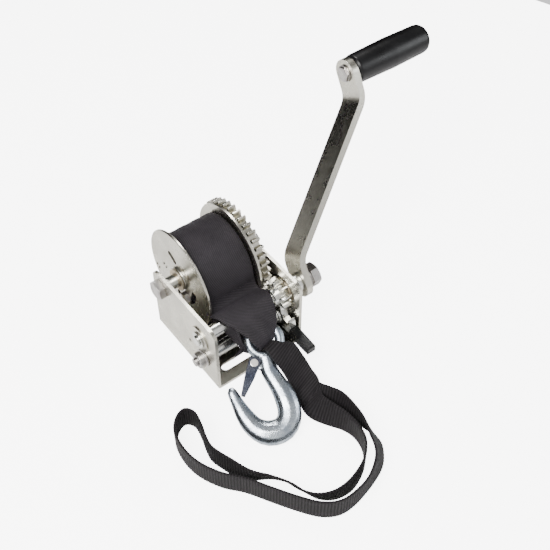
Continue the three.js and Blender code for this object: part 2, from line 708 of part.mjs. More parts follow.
// The bar's side view in X and Z: foot, slanted middle and head.
function armSideView() {
  const slope = Math.atan2(armOffset, armBendEnd - armBendStart);
  const shoulder = armThickness * Math.tan(slope / 2);
  const r = armBendRadius;
  const z0 = -armFootReach - 1;
  const z1 = armHeadReach + 1;
  return roundedShape([
    [armInner, z0, 0], [armOuter, z0, 0], [armOuter, armBendStart - shoulder, r],
    [headOuter, armBendEnd - shoulder, r + 3], [headOuter, z1, 0], [headInner, z1, 0],
    [headInner, armBendEnd, r], [armInner, armBendStart, r + 3],
  ]);
}

function crankArm() {
  const half = armWidth / 2;
  const side = acrossY(armSideView(), -half, half, 8);
  const face = slotShape([0, half - armFootReach], [0, armHeadReach - half], armWidth);
  const bar = side.intersect(acrossX(face, armInner - 1, headOuter + 1, 16));
  const keyed = rod(armInner - 1, armOuter + 1, shaftRadius + gap).intersect(
    acrossX(outline([
      [-shaftFlat - gap, -9], [shaftFlat + gap, -9], [shaftFlat + gap, 9], [-shaftFlat - gap, 9],
    ]), armInner - 1, armOuter + 1));
  const studHole = moved(rod(headInner - 1, headOuter + 1, gripStudRadius + gap, 24), 0, gripThrow);
  return cut(bar, keyed, studHole);
}

function crankWasher() {
  const left = armOuter + gap;
  return tube(left, left + crankWasherThickness, shaftRadius + gap, shaftRadius + crankWasherRim);
}

function crankNut() {
  const left = armOuter + gap + crankWasherThickness + gap;
  const hexLeft = left + crankNutBossLength;
  const boss = rod(left, hexLeft + 1, shaftRadius + crankNutBossWall);
  const hex = hexHead(hexLeft, hexLeft + crankNutLength, crankNutFlats, hexLeft + crankNutLength, 0.35);
  return boss.add(hex).subtract(rod(left - 1, nutEnd + 1, shaftRadius + gap));
}

// ---- Grip and its stud, about the grip axis ----

const gripLeft = headOuter + gripStandoff;
const gripRight = gripLeft + gripLength;

function gripStud() {
  const head = headInner - gap - gripStudHeadLength;
  const hex = hexHead(head, headInner - gap - 1, 13, head, 0.1);
  const flange = rod(headInner - gap - 1.4, headInner - gap, gripStudHeadRadius, 20);
  const shank = rod(headInner - gap - 1, gripLeft + gripStudReach, gripStudRadius, 24);
  return union(hex, flange, shank);
}

function gripBody() {
  const bore = gripStudRadius + runningGap;
  const boreEnd = gripLeft + gripStudReach + gripBoreSpare;
  const middle = (gripLeft + gripRight) / 2;
  const end = 7; // length of the rounded end
  const profile = [[gripLeft, bore], [boreEnd, bore], [boreEnd, 0], [gripRight, 0]];
  for (let i = 1; i <= 4; i++) {
    const turn = (i * Math.PI) / 8;
    profile.push([gripRight - end + end * Math.cos(turn), gripRadius - end - 0.8 + end * Math.sin(turn)]);
  }
  profile.push([middle + 1, gripRadius - 0.1], [middle, gripRadius], [middle - 1, gripRadius - 0.1]);
  profile.push([gripLeft + 3, gripRadius - 1], [gripLeft + 1.6, gripRadius - 1.4], [gripLeft, gripRadius - 3]);
  return turned(profile, 24);
}

// ---- Tie rod ----

function tieBolt() {
  const nutLeft = leftOuter - gap - tieNutLength;
  const shank = rod(nutLeft - tieBoltEnd, rightOuter + gap + 1, tieBoltRadius, 24);
  const head = hexHead(rightOuter + gap, rightOuter + gap + tieHeadLength, tieHeadFlats,
    rightOuter + gap + tieHeadLength, 0.2);
  return shank.add(head);
}

// A round flange nut. Its waist is narrower than its flange.
function tieNut() {
  const right = leftOuter - gap;
  const left = right - tieNutLength;
  const bore = tieBoltRadius + gap;
  return turned([
    [left, bore], [left, tieNutRadius - 1.4], [left + 1, tieNutRadius - 0.5], [right - 2, tieNutRadius - 0.5],
    [right - 1.6, tieNutRadius + 0.6], [right, tieNutRadius + 0.6], [right, bore],
  ]);
}

const tieSpacer = () => tube(leftInner + gap, tieSpacerRight, tieBoltRadius + gap, tieSpacerRadius);
const tieWasher = () => tube(tieWasherRight - tieWasherThickness, tieWasherRight, tieBoltRadius + gap, tieWasherRadius);

// The return spring between the pawl and the right plate, with one straight leg.
function pawlSpring() {
  const turns = [];
  const steps = Math.round(10 * pawlSpringTurns);
  const first = pawlRight + gap + springWire / 2;
  for (let i = 0; i <= steps; i++) {
    const turn = (i / steps) * pawlSpringTurns * 2 * Math.PI;
    const x = first + (i / steps) * springPitch * pawlSpringTurns;
    turns.push(new THREE.Vector3(x, pawlSpringRadius * Math.cos(turn), pawlSpringRadius * Math.sin(turn)));
  }
  const end = turns.at(-1);
  turns.push(new THREE.Vector3(end.x, end.y + pawlSpringLeg / 2, end.z));
  turns.push(new THREE.Vector3(end.x, end.y + pawlSpringLeg, end.z - 0.4));
  return wireBody(turns, springWire, steps + 8);
}

function wireBody(points, diameter, steps) {
  const section = new THREE.Shape().absarc(0, 0, diameter / 2, 0, 2 * Math.PI, false);
  const path = new THREE.CatmullRomCurve3(points, false, "centripetal");
  const options = { steps, bevelEnabled: false, extrudePath: path, curveSegments: 3 };
  return solidOf(new THREE.ExtrudeGeometry(section, options));
}

// ---- Pawl, about the tie rod ----

// The steel pawl in Y and Z: a hub, a finger up to the pinion, a notch, a hump and a tongue for the lever.
function pawlOutline() {
  return outline([
    [-2.4, 5.3], [-5.4, 9.3], [-9.4, 2.9], [-14.6, 1.2], [-15.6, 2.6], [-16.6, 7], [-19, 5.6], [-19.6, 2.4],
    [-20.8, -1.8], [-32, -2.6], [-32, -8.2], [-21, -9], [-16, -14.6], [-2, -12.4], [0, -4],
  ]);
}

function pawlPlate() {
  const plate = acrossX(pawlOutline(), pawlLeft, pawlRight);
  return plate.add(rod(pawlLeft, pawlRight, pawlHubRadius, 20)).subtract(
    rod(pawlLeft - 1, pawlRight + 1, tieBoltRadius + runningGap, 24));
}

// The plastic lever is moulded round the tongue and along the lower edge of the steel.
function pawlLever() {
  const middle = (pawlLeft + pawlRight) / 2;
  const left = middle - pawlLeverWidth / 2;
  const right = middle + pawlLeverWidth / 2;
  const top = -1.6;
  const bottom = top - pawlLeverHeight;
  const shape = roundedShape([
    [-pawlLeverEnd, bottom - 1, 2.2], [-27.4, bottom - 1.4, 1], [-21, -18.8, 1.5], [-0.6, -19.4, 1.5],
    [0.6, -12.8, 1.5], [-18.6, -12, 0.5], [-20.2, top + 0.6, 1], [-pawlLeverEnd, top - 1.6, 1.2],
  ]);
  const steel = acrossX(pawlOutline(), pawlLeft - gap, pawlRight + gap);
  const pocket = [[-gap, -gap], [-gap, gap], [gap, -gap], [gap, gap]].map(([y, z]) => moved(steel, y, z));
  return cut(acrossX(shape, left, right), ...pocket);
}

// ---- Hook. Here X runs across it towards the shank, Y from the eye to the bend, Z down through it ----

// The forging's middle line from the eye to the tip: across, along, half width in the hook's own plane.
const hookLine = [
  [0, 14, 7.6], [1.5, 27, 7.8], [6, 37, 8.2], [10.4, 46, 9.4], [13, 54, 10.2], [14.2, 61, 10.4],
  [13, 70, 10.7], [8, 77, 11], [0, 79.8, 11.2], [-8, 79.2, 10.8], [-17.2, 73.3, 9.2], [-24.1, 63, 7.7],
  [-30, 49.3, 5.3], [-33, 41, 4.3], [-33.6, 37.8, 2],
];
const hookFlatness = 0.7; // of the section's height to its width

function hookShank() {
  const spine = smooth(hookLine.map(([a, b, half]) => new THREE.Vector3(a, b, half)), 30);
  const ring = 12;
  const points = [];
  spine.forEach(({ x, y, z: half }, i) => {
    const before = spine[Math.max(i - 1, 0)];
    const after = spine[Math.min(i + 1, spine.length - 1)];
    const side = new THREE.Vector2(after.y - before.y, before.x - after.x).normalize();
    for (let j = 0; j < ring; j++) {
      const turn = (j * 2 * Math.PI) / ring;
      const out = half * Math.cos(turn);
      points.push(new THREE.Vector3(x + side.x * out, y + side.y * out, half * hookFlatness * Math.sin(turn)));
    }
  });
  return solidOf(sectionsGeometry(points, ring));
}

function hookBody() {
  const eye = solidOf(new THREE.TorusGeometry(eyeRingRadius, eyeBarRadius, 12, 30));
  const lug = new THREE.CylinderGeometry(latchLugRadius, latchLugRadius, latchLugThickness, 16);
  lug.rotateX(Math.PI / 2).translate(latchPivot.across, latchPivot.along, 0);
  const web = acrossZ(outline([
    [latchPivot.across, latchPivot.along - latchLugRadius + 0.1], [2, 12], [3, 30],
    [latchPivot.across + 1, latchPivot.along + latchLugRadius - 0.1],
  ]), -latchLugThickness / 2, latchLugThickness / 2);
  return union(eye, hookShank(), solidOf(lug), web).subtract(latchPin(latchRivetRadius + gap, 20));
}

// A round bar through the latch pivot.
function latchPin(radius, length) {
  const bar = new THREE.CylinderGeometry(radius, radius, length, 20).rotateX(Math.PI / 2);
  return solidOf(bar.translate(latchPivot.across, latchPivot.along, 0));
}

function latchRivet() {
  const half = latchInnerWidth / 2 + latchSheet;
  const head = (z) => {
    const disc = new THREE.CylinderGeometry(latchRivetRadius + 1.6, latchRivetRadius + 1.6, 0.9, 20);
    return solidOf(disc.rotateX(Math.PI / 2).translate(latchPivot.across, latchPivot.along, z));
  };
  const offset = half + gap + 0.4;
  return union(latchPin(latchRivetRadius, 2 * offset), head(offset), head(-offset));
}

// The pressed steel latch: two cheeks on the rivet and a spine between them, tapering to its tip.
function hookLatch() {
  const pivot = new THREE.Vector2(latchPivot.across, latchPivot.along);
  const tip = new THREE.Vector2(latchTip.across, latchTip.along);
  const along = tip.clone().sub(pivot).normalize();
  const aside = new THREE.Vector2(-along.y, along.x);
  const at = (forward, sideways) => {
    const point = pivot.clone().addScaledVector(along, forward).addScaledVector(aside, sideways);
    return [point.x, point.y];
  };
  const length = pivot.distanceTo(tip);
  const cheek = latchLugRadius + 0.6;
  const shape = roundedShape([
    [...at(-cheek, -cheek), 3.5], [...at(length * 0.4, -4.4), 1], [...at(length, -1.8), 1],
    [...at(length, 1.8), 1], [...at(length * 0.4, 4.4), 1], [...at(-cheek, cheek), 3.5],
  ]);
  const half = latchInnerWidth / 2;
  const body = acrossZ(shape, -half - latchSheet, half + latchSheet);
  const hollow = acrossZ(outline([
    at(-cheek - 2, -cheek - 2), at(length + 2, -cheek - 2), at(length + 2, 0.4),
    at(length * 0.4, 4.4 - latchSheet), at(8.4, 5 - latchSheet), at(8.4, cheek + 2), at(-cheek - 2, cheek + 2),
  ]), -half, half);
  return cut(body, hollow, latchPin(latchRivetRadius + gap, 30));
}

function latchSpring() {
  const turns = [];
  const z = (latchLugThickness / 2 + latchInnerWidth / 2) / 2;
  for (let i = 0; i <= 14; i++) {
    const turn = 2.6 + (i / 14) * 1.7 * Math.PI;
    const x = latchPivot.across + latchSpringRadius * Math.cos(turn);
    turns.push(new THREE.Vector3(x, latchPivot.along + latchSpringRadius * Math.sin(turn), z));
  }
  return wireBody(turns, 0.7, 20);
}

// ---- Fabric ----

// A hook's own axes: X across, Y along, Z up.
const hookAcross = new THREE.Vector3(Math.cos(hookTurn), -Math.sin(hookTurn), 0);
const hookAlong = new THREE.Vector3(
  -Math.sin(hookTurn) * Math.cos(hookDip), -Math.cos(hookTurn) * Math.cos(hookDip), -Math.sin(hookDip));
const hookUp = hookAcross.clone().cross(hookAlong).negate();

// A point given across, along and above the hook.
const onHook = (across, along, up) =>
  eyePoint.clone().addScaledVector(hookAcross, across).addScaledVector(hookAlong, along).addScaledVector(hookUp, up);

// The strap's free end: down the front of the roll, over the crank shaft and round the eye's upper bar.
function strapLead() {
  const roll = rollRadius + gap + strapThickness / 2 + 0.2;
  const onRoll = (degrees) => {
    const [y, z] = onCircle(roll, THREE.MathUtils.degToRad(degrees));
    return [drumY + y, drumHeight + z];
  };
  const overShaft = pinionHeight + shaftRadius + strapThickness / 2 + gap;
  const pair = (x0, x1, y, z) => [new THREE.Vector3(x0, y, z), new THREE.Vector3(x1, y, z)];
  const bar = eyeBarRadius + strapThickness / 2 + 1.3;
  const aroundBar = (degrees, half, shift) => {
    const turn = THREE.MathUtils.degToRad(degrees);
    const along = -eyeRingRadius + bar * Math.sin(turn);
    const up = bar * Math.cos(turn);
    return [onHook(shift - half, along, up), onHook(shift + half, along, up)];
  };
  const rough = [
    pair(rollLeft, rollRight, ...onRoll(158)), pair(rollLeft, rollRight, ...onRoll(170)),
    pair(rollLeft, rollRight, ...onRoll(181)), pair(rollLeft, rollRight + 0.3, drumY - roll - 4, 55.6),
    pair(rollLeft, rollRight + 0.3, pinionY + 6.4, overShaft - 0.9),
    pair(rollLeft + 1, rollRight + 0.3, pinionY, overShaft + 0.1),
    pair(rollLeft + 4, rollRight - 2.6, pinionY - 9, overShaft - 0.3),
    aroundBar(-35, 11.6, 1), aroundBar(0, 8, 0.4), aroundBar(35, 4.6, 0), aroundBar(62, 3.4, 0),
  ];
  const left = smooth(rough.map((station) => station[0]), 40);
  const right = smooth(rough.map((station) => station[1]), 40);
  return strip(left.map((point, i) => [point, right[i]]), strapThickness);
}

// The doubled, box-stitched end of the webbing: out of the eye, over its lower limb and down beside the shank.
// Each station holds its left and right edges: across, along and above the hook.
const tabStations = [
  [[-1.9, 7.1, 5.2], [4.8, 1.2, 5]],
  [[1.6, 12.6, 7.9], [13.6, 4.6, 7.7]],
  [[5.6, 19.6, 7.6], [24, 5.4, 3.4]],
  [[12, 28, 3], [30, 13.4, -1.4]],
  [[17, 36.5, -4.6], [35.3, 21.9, -5.4]],
  [[21.4, 44.6, -10.6], [39.6, 30.8, -5.8]],
  [[23.2, 49.2, -14], [42.4, 36.6, -5.6]],
];

function tailTab() {
  const edge = (side) => smooth(tabStations.map((station) => onHook(...station[side])), 18);
  const right = edge(1);
  return strip(edge(0).map((point, i) => [point, right[i]]), tabThickness);
}

// The webbing loop on the floor. Each point of its middle line is given right of the eye, behind it and above
// the floor, then how far its upper edge leans to the right of its heading, in degrees from upright.
const tailRoute = [
  [11.3, -50.8, 13.8, -52], [14.3, -58, 13.6, -32], [19.1, -65, 13.6, 4], [24.9, -73.4, 12.9, 28],
  [28.1, -87.4, 13, 22], [29.7, -103.4, 13, 8], [26.9, -119.8, 12.8, 0], [17.1, -135, 12.8, 0],
  [0.5, -144.8, 12.8, 0], [-17.5, -149.8, 12.8, 0], [-35.5, -149.8, 12.8, 0], [-49.5, -141.8, 12.8, 0],
  [-61.5, -126.4, 12.8, 0], [-73.1, -107.9, 12.8, 0], [-85, -88.4, 12.8, 0], [-97.5, -73, 12.8, 0],
  [-106.5, -54.4, 12.8, 0], [-109.2, -36.4, 12.8, 0], [-106.3, -18.4, 12.8, 0], [-97.9, -8, 12.8, 0],
  [-88.5, -5, 12.8, 0], [-83.1, -12.4, 12.8, 0], [-84.9, -25.4, 12.8, 0], [-88.5, -37.4, 12.8, 0],
  [-90.1, -48.4, 12.8, 0], [-86.5, -61.8, 12.8, 0], [-81.5, -74.4, 12.8, 0], [-74.5, -85.4, 12.8, 10],
  [-63.9, -95.4, 12.8, 22], [-55.9, -106.9, 12.8, 26], [-51.5, -119.4, 12.8, 26],
  [-44.9, -130.8, 12.8, 24], [-33.5, -138, 12.8, 16], [-19.5, -139.6, 12.8, 6], [-5.5, -136, 12.8, 0],
  [6.5, -129, 12.8, 0], [15.5, -118.4, 12.8, 0], [19.1, -104.4, 12.8, 0], [17.3, -90.4, 12.8, 0],
  [11.7, -77.4, 13, 4], [7.5, -65.4, 13, 18], [8.9, -56.8, 11.4, 42], [12.9, -50, 11.6, 52],
];

function tailLoop() {
  const middle = smooth(tailRoute.map(([x, y, z]) => new THREE.Vector3(eyePoint.x + x, eyePoint.y + y, z)), 84);
  const leans = smooth(tailRoute.map(([x, y, z, lean]) => new THREE.Vector3(x, y, lean)), 84);
  const stations = middle.map((point, i) => {
    const ahead = middle[Math.min(i + 1, 84)].clone().sub(middle[Math.max(i - 1, 0)]).setZ(0).normalize();
    const aside = new THREE.Vector3(-ahead.y, ahead.x, 0);
    const lean = THREE.MathUtils.degToRad(leans[i].z);
    const across = zAxis.clone().multiplyScalar(Math.cos(lean)).addScaledVector(aside, -Math.sin(lean));
    const half = across.multiplyScalar(tailWidth / 2);
    return [point.clone().sub(half), point.clone().add(half)];
  });
  return strip(stations, tailThickness);
}

// ---- Assembly ----

function groupAt(parent, y, z) {
  const group = new THREE.Group();
  group.position.set(0, y, z);
  parent.add(group);
  return group;
}

function addFrame(winch) {
  place(winch, "frame_channel", frameChannel(), zincPlate());
  place(winch, "drum_bolt", drumBolt(), zincFastener());
  place(winch, "drum_bolt_nut", drumBoltNut(), zincFastener());
  place(winch, "drum_axle_tube", axleTube(), brightSteel());
  const shaft = groupAt(winch, pinionY, pinionHeight);
  place(shaft, "shaft_bush_left", leftShaftBush(), bronze());
  place(shaft, "shaft_bush_right", rightShaftBush(), bronze());
  const tie = groupAt(winch, tieY, tieZ);
  place(tie, "tie_bolt", tieBolt(), zincFastener());
  place(tie, "tie_nut", tieNut(), zincFastener());
  place(tie, "tie_spacer", tieSpacer(), brightSteel());
  place(tie, "tie_washer", tieWasher(), brightSteel());
  place(tie, "pawl_spring", pawlSpring(), brightSteel());
}

function addDrum(winch) {
  const drum = groupAt(winch, drumY, drumHeight);
  place(drum, "drum_hub", drumHub(), brightSteel());
  place(drum, "drum_bush_left", drumBush(-1), bronze());
  place(drum, "drum_bush_right", drumBush(1), bronze());
  place(drum, "drum_flange_left", leftFlange(), zincPlate());
  place(drum, "drum_flange_right", rightFlange(), zincPlate());
  place(drum, "drum_gear", drumGear(), zincPlate());
  for (let i = 0; i < rivetCount; i++) place(drum, `gear_rivet_${i + 1}`, gearRivet(i), zincFastener());
  place(drum, "strap_roll", strapRoll(), strapFabric());
  place(drum, "anchor_bolt", anchorBolt(), zincFastener());
  place(drum, "anchor_nut", anchorNut(), zincFastener());
}

function addCrank(winch) {
  const shaft = groupAt(winch, pinionY, pinionHeight);
  place(shaft, "pinion", pinionBody(), brightSteel());
  const crank = groupAt(winch, pinionY, pinionHeight);
  crank.rotation.x = -crankLean;
  place(crank, "crank_shaft", shaftBody(), brightSteel());
  place(crank, "shaft_retaining_ring", retainingRing(), brightSteel());
  place(crank, "crank_spacer", crankSpacer(), brightSteel());
  place(crank, "crank_arm", crankArm(), zincPlate());
  place(crank, "crank_washer", crankWasher(), zincFastener());
  place(crank, "crank_nut", crankNut(), zincFastener());
  const grip = groupAt(crank, 0, gripThrow);
  place(grip, "grip_stud", gripStud(), zincFastener());
  place(grip, "grip", gripBody(), blackPlastic());
}

function addPawl(winch) {
  const pawl = groupAt(winch, tieY, tieZ);
  place(pawl, "pawl_plate", pawlPlate(), brightSteel());
  place(pawl, "pawl_lever", pawlLever(), blackPlastic());
}

function addHook(winch) {
  const hook = new THREE.Group();
  hook.matrixAutoUpdate = false;
  hook.matrix.makeBasis(hookAcross, hookAlong, hookUp.clone().negate()).setPosition(eyePoint);
  winch.add(hook);
  place(hook, "hook", hookBody(), forgedZinc());
  place(hook, "latch_rivet", latchRivet(), zincFastener());
  place(hook, "hook_latch", hookLatch(), forgedZinc());
  place(hook, "latch_spring", latchSpring(), brightSteel());
}

function addFabric(winch) {
  place(winch, "strap_lead", strapLead(), strapFabric());
  place(winch, "tail_tab", tailTab(), webbingFabric());
  place(winch, "tail_loop", tailLoop(), webbingFabric());
}

const winch = new THREE.Group();
winch.name = "boat_trailer_winch";
addFrame(winch);
addDrum(winch);
addCrank(winch);
addPawl(winch);
addHook(winch);
addFabric(winch);

export default winch;
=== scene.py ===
"""The visual model of a boat trailer hand winch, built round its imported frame.

Lengths are metres in the frame's own axes: X along the drum towards the crank, Y to the back, Z up.
"""

import logging
import math
from dataclasses import dataclass
from enum import Enum
from typing import Callable, Iterable, Sequence

import bmesh
import bpy
from mathutils import Matrix, Vector, noise


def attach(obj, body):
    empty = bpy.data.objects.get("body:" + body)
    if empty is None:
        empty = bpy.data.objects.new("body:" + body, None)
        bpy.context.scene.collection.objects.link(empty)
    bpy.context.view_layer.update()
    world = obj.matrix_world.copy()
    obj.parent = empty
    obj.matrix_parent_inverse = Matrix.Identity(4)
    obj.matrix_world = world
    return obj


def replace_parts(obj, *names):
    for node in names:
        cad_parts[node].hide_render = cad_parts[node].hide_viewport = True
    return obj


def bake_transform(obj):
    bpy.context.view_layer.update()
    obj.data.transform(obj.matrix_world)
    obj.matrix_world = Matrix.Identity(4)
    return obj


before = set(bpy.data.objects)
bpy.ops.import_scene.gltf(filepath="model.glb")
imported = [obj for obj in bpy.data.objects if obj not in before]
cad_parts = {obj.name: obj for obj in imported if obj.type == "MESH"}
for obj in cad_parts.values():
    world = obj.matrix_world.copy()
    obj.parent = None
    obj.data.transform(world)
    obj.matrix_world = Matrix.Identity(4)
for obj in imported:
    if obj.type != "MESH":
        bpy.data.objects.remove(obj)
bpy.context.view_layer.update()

log = logging.getLogger("winch")

MM = 0.001
FULL_TURN = 2 * math.pi
WORN = "worn"  # corner attribute: 1 on softened edges, 0 elsewhere
SAME_PLACE = 0.000002  # vertices closer than this are joined


class Body(Enum):
    """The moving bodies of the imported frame."""

    FRAME = "frame"
    DRUM = "drum"
    CRANK = "crank"
    GRIP = "grip"
    PAWL = "pawl"
    HOOK = "hook"
    LATCH = "latch"


class Slot(Enum):
    """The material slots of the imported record."""

    ZINC_PLATE = "zinc_plate"
    ZINC_FASTENER = "zinc_fastener"
    BRIGHT_STEEL = "bright_steel"
    FORGED_ZINC = "forged_zinc"
    BUSH_BRONZE = "bush_bronze"
    BLACK_PLASTIC = "black_plastic"
    STRAP_FABRIC = "strap_fabric"
    WEBBING_FABRIC = "webbing_fabric"


# ---- Shader nodes ----


class Graph:
    """Adds and joins the nodes of one tree."""

    def __init__(self, tree: bpy.types.NodeTree) -> None:
        """Keeps the tree that the nodes go into."""
        self.tree = tree

    def add(self, kind: str, inputs: dict | None = None, **settings: object) -> bpy.types.Node:
        """Adds one node.

        Args:
            kind: the node's type name.
            inputs: what goes into its sockets, by name or number: another socket, or a constant.
            settings: properties to set on the node first.

        Returns:
            The node.
        """
        node = self.tree.nodes.new(kind)
        for name, value in settings.items():
            setattr(node, name, value)
        for name, value in (inputs or {}).items():
            self.feed(node, name, value)
        return node

    def feed(self, node: bpy.types.Node, name: str | int, value: object) -> None:
        """Joins a socket to an input, or sets the input to a constant."""
        socket = node.inputs[name]
        if isinstance(value, bpy.types.NodeSocket):
            self.tree.links.new(value, socket)
        else:
            socket.default_value = value

    def math(self, operation: str, *values: object) -> bpy.types.NodeSocket:
        """Adds a Math node and returns its result."""
        return self.add("ShaderNodeMath", dict(enumerate(values)), operation=operation).outputs[0]

    def remap(self, value: object, low: float, high: float, to_low: float,
              to_high: float) -> bpy.types.NodeSocket:
        """Adds a clamped Map Range node and returns its result."""
        inputs = {"Value": value, "From Min": low, "From Max": high, "To Min": to_low, "To Max": to_high}
        return self.add("ShaderNodeMapRange", inputs, clamp=True).outputs[0]

    def blend(self, share: object, first: object, second: object) -> bpy.types.NodeSocket:
        """Mixes two colours by a share and returns the colour."""
        return self.add("ShaderNodeMix", {0: share, 6: first, 7: second}, data_type="RGBA").outputs[2]

    def noise(self, where: object, scale: float, detail: float = 3.0,
              roughness: float = 0.5) -> bpy.types.NodeSocket:
        """Adds a Noise Texture and returns its value."""
        inputs = {"Vector": where, "Scale": scale, "Detail": detail, "Roughness": roughness}
        return self.add("ShaderNodeTexNoise", inputs).outputs[0]

    def group(self, tree: bpy.types.NodeTree, inputs: dict | None = None) -> bpy.types.Node:
        """Places a node group with its values."""
        node = self.add("ShaderNodeGroup", node_tree=tree)
        for name, value in (inputs or {}).items():
            self.feed(node, name, value)
        return node


def new_group(name: str, inputs: dict[str, tuple[str, object]], outputs: Sequence[str]) -> tuple:
    """Starts a shader node group.

    Args:
        name: the group's name.
        inputs: each input's socket type and default value, by name.
        outputs: names of its outputs, all of them values.

    Returns:
        The tree, its Graph, its input node and its output node.
    """
    tree = bpy.data.node_groups.new(name, "ShaderNodeTree")
    for label, (kind, default) in inputs.items():
        socket = tree.interface.new_socket(label, in_out="INPUT", socket_type=kind)
        if default is not None:
            socket.default_value = default
    for label in outputs:
        tree.interface.new_socket(label, in_out="OUTPUT", socket_type="NodeSocketFloat")
    graph = Graph(tree)
    return tree, graph, graph.add("NodeGroupInput"), graph.add("NodeGroupOutput")


FLOAT = "NodeSocketFloat"
VECTOR = "NodeSocketVector"


def make_edge_wear() -> bpy.types.NodeTree:
    """The rubbed edges of a metal or plastic part: a mask that is 1 where the edge is bare."""
    tree, g, entry, leave = new_group(
        "edge_wear", {"Position": (VECTOR, None), "Scale": (FLOAT, 300.0), "Amount": (FLOAT, 0.6)}, ["Mask"]
    )
    edge = g.add("ShaderNodeAttribute", attribute_name=WORN).outputs["Fac"]
    patches = g.noise(entry.outputs["Position"], 1.0, 4.0, 0.6)
    g.feed(patches.node, "Scale", entry.outputs["Scale"])
    rubbed = g.remap(patches, 0.3, 0.62, 0.0, 1.0)
    mask = g.math("MULTIPLY", g.math("MULTIPLY", edge, rubbed), entry.outputs["Amount"])
    g.feed(leave, "Mask", mask)
    return tree


def make_mottle() -> bpy.types.NodeTree:
    """The cloudy tone of a zinc coat at two sizes."""
    tree, g, entry, leave = new_group(
        "mottle", {"Position": (VECTOR, None), "Scale": (FLOAT, 40.0)}, ["Clouds", "Specks"]
    )
    clouds = g.noise(entry.outputs["Position"], 1.0, 4.0, 0.6)
    g.feed(clouds.node, "Scale", entry.outputs["Scale"])
    fine_scale = g.math("MULTIPLY", entry.outputs["Scale"], 9.0)
    specks = g.noise(entry.outputs["Position"], 1.0, 2.0, 0.5)
    g.feed(specks.node, "Scale", fine_scale)
    g.feed(leave, "Clouds", g.remap(clouds, 0.3, 0.7, 0.0, 1.0))
    g.feed(leave, "Specks", g.remap(specks, 0.35, 0.7, 0.0, 1.0))
    return tree


def make_brushing() -> bpy.types.NodeTree:
    """Fine scratches drawn out along one axis, as a height."""
    tree, g, entry, leave = new_group(
        "brushing", {"Position": (VECTOR, None), "Stretch": (VECTOR, (1.0, 1.0, 1.0))}, ["Height"]
    )
    drawn = g.add("ShaderNodeVectorMath", {0: entry.outputs["Position"], 1: entry.outputs["Stretch"]},
                  operation="MULTIPLY").outputs[0]
    lines = g.noise(drawn, 1.0, 5.0, 0.7)
    g.feed(leave, "Height", lines)
    return tree


def make_dust() -> bpy.types.NodeTree:
    """Thin dust that settles where a surface faces up."""
    tree, g, entry, leave = new_group("dust", {"Position": (VECTOR, None), "Amount": (FLOAT, 0.2)}, ["Mask"])
    normal = g.add("ShaderNodeNewGeometry").outputs["Normal"]
    up = g.add("ShaderNodeSeparateXYZ", {0: normal}).outputs[2]
    facing = g.remap(up, 0.2, 1.0, 0.0, 1.0)
    patches = g.remap(g.noise(entry.outputs["Position"], 70.0, 5.0, 0.65), 0.42, 0.75, 0.0, 1.0)
    g.feed(leave, "Mask", g.math("MULTIPLY", g.math("MULTIPLY", facing, patches), entry.outputs["Amount"]))
    return tree


def make_twill() -> bpy.types.NodeTree:
    """A fine twill on a UV map in metres: U along the strap and V across it."""
    tree, g, entry, leave = new_group(
        "twill", {"UV": (VECTOR, None), "Along": (FLOAT, 900.0), "Across": (FLOAT, 900.0)}, ["Height", "Line"]
    )
    parts = g.add("ShaderNodeSeparateXYZ", {0: entry.outputs["UV"]})
    along = g.math("MULTIPLY", parts.outputs[0], entry.outputs["Along"])
    across = g.math("MULTIPLY", parts.outputs[1], entry.outputs["Across"])
    line = g.math("SINE", g.math("MULTIPLY", g.math("ADD", along, across), FULL_TURN))
    line = g.remap(line, -1.0, 1.0, 0.0, 1.0)
    thread = g.math("SINE", g.math("MULTIPLY", across, FULL_TURN * 2))
    thread = g.remap(thread, -1.0, 1.0, 0.0, 1.0)
    height = g.math("ADD", g.math("MULTIPLY", line, 0.75), g.math("MULTIPLY", thread, 0.25))
    g.feed(leave, "Height", height)
    g.feed(leave, "Line", line)
    return tree


def make_ribs() -> bpy.types.NodeTree:
    """Webbing: ribs that cross the width, each made of two rows of slanting threads, and a painted shade mask
    that is 1 in the valleys between the ribs.
    """
    tree, g, entry, leave = new_group(
        "ribs", {"UV": (VECTOR, None), "Ribs": (FLOAT, 400.0), "Threads": (FLOAT, 900.0)},
        ["Height", "ValleyShade"],
    )
    parts = g.add("ShaderNodeSeparateXYZ", {0: entry.outputs["UV"]})
    rib = g.math("MULTIPLY", parts.outputs[0], entry.outputs["Ribs"])
    crest = g.remap(g.math("COSINE", g.math("MULTIPLY", rib, FULL_TURN)), -1.0, 1.0, 0.0, 1.0)
    fold = g.math("ABSOLUTE", g.math("SUBTRACT", g.math("FRACT", rib), 0.5))
    slant = g.math("ADD", g.math("MULTIPLY", parts.outputs[1], entry.outputs["Threads"]), fold)
    thread = g.remap(g.math("SINE", g.math("MULTIPLY", slant, FULL_TURN)), -1.0, 1.0, 0.0, 1.0)
    height = g.math("ADD", g.math("MULTIPLY", crest, 0.6), g.math("MULTIPLY", thread, 0.4))
    g.feed(leave, "Height", height)
    # painted shade: the second output is 1 in the valleys between the ribs, where shade falls
    g.feed(leave, "ValleyShade", g.remap(crest, 0.0, 0.45, 1.0, 0.0))
    return tree


@dataclass(frozen=True)
class Effects:
    """The node groups that the finishes share."""

    edge_wear: bpy.types.NodeTree
    mottle: bpy.types.NodeTree
    brushing: bpy.types.NodeTree
    dust: bpy.types.NodeTree
    twill: bpy.types.NodeTree
    ribs: bpy.types.NodeTree

    @classmethod
    def build(cls) -> "Effects":
        """Builds each group once."""
        return cls(make_edge_wear(), make_mottle(), make_brushing(), make_dust(), make_twill(), make_ribs())


def new_material(name: str) -> tuple[bpy.types.Material, Graph, bpy.types.Node]:
    """Starts a material.

    Args:
        name: the material's name.

    Returns:
        The material, its Graph and its Principled BSDF.
    """
    material = bpy.data.materials.new(name)
    material.use_nodes = True
    graph = Graph(material.node_tree)
    return material, graph, material.node_tree.nodes["Principled BSDF"]


Colour = tuple[float, float, float]


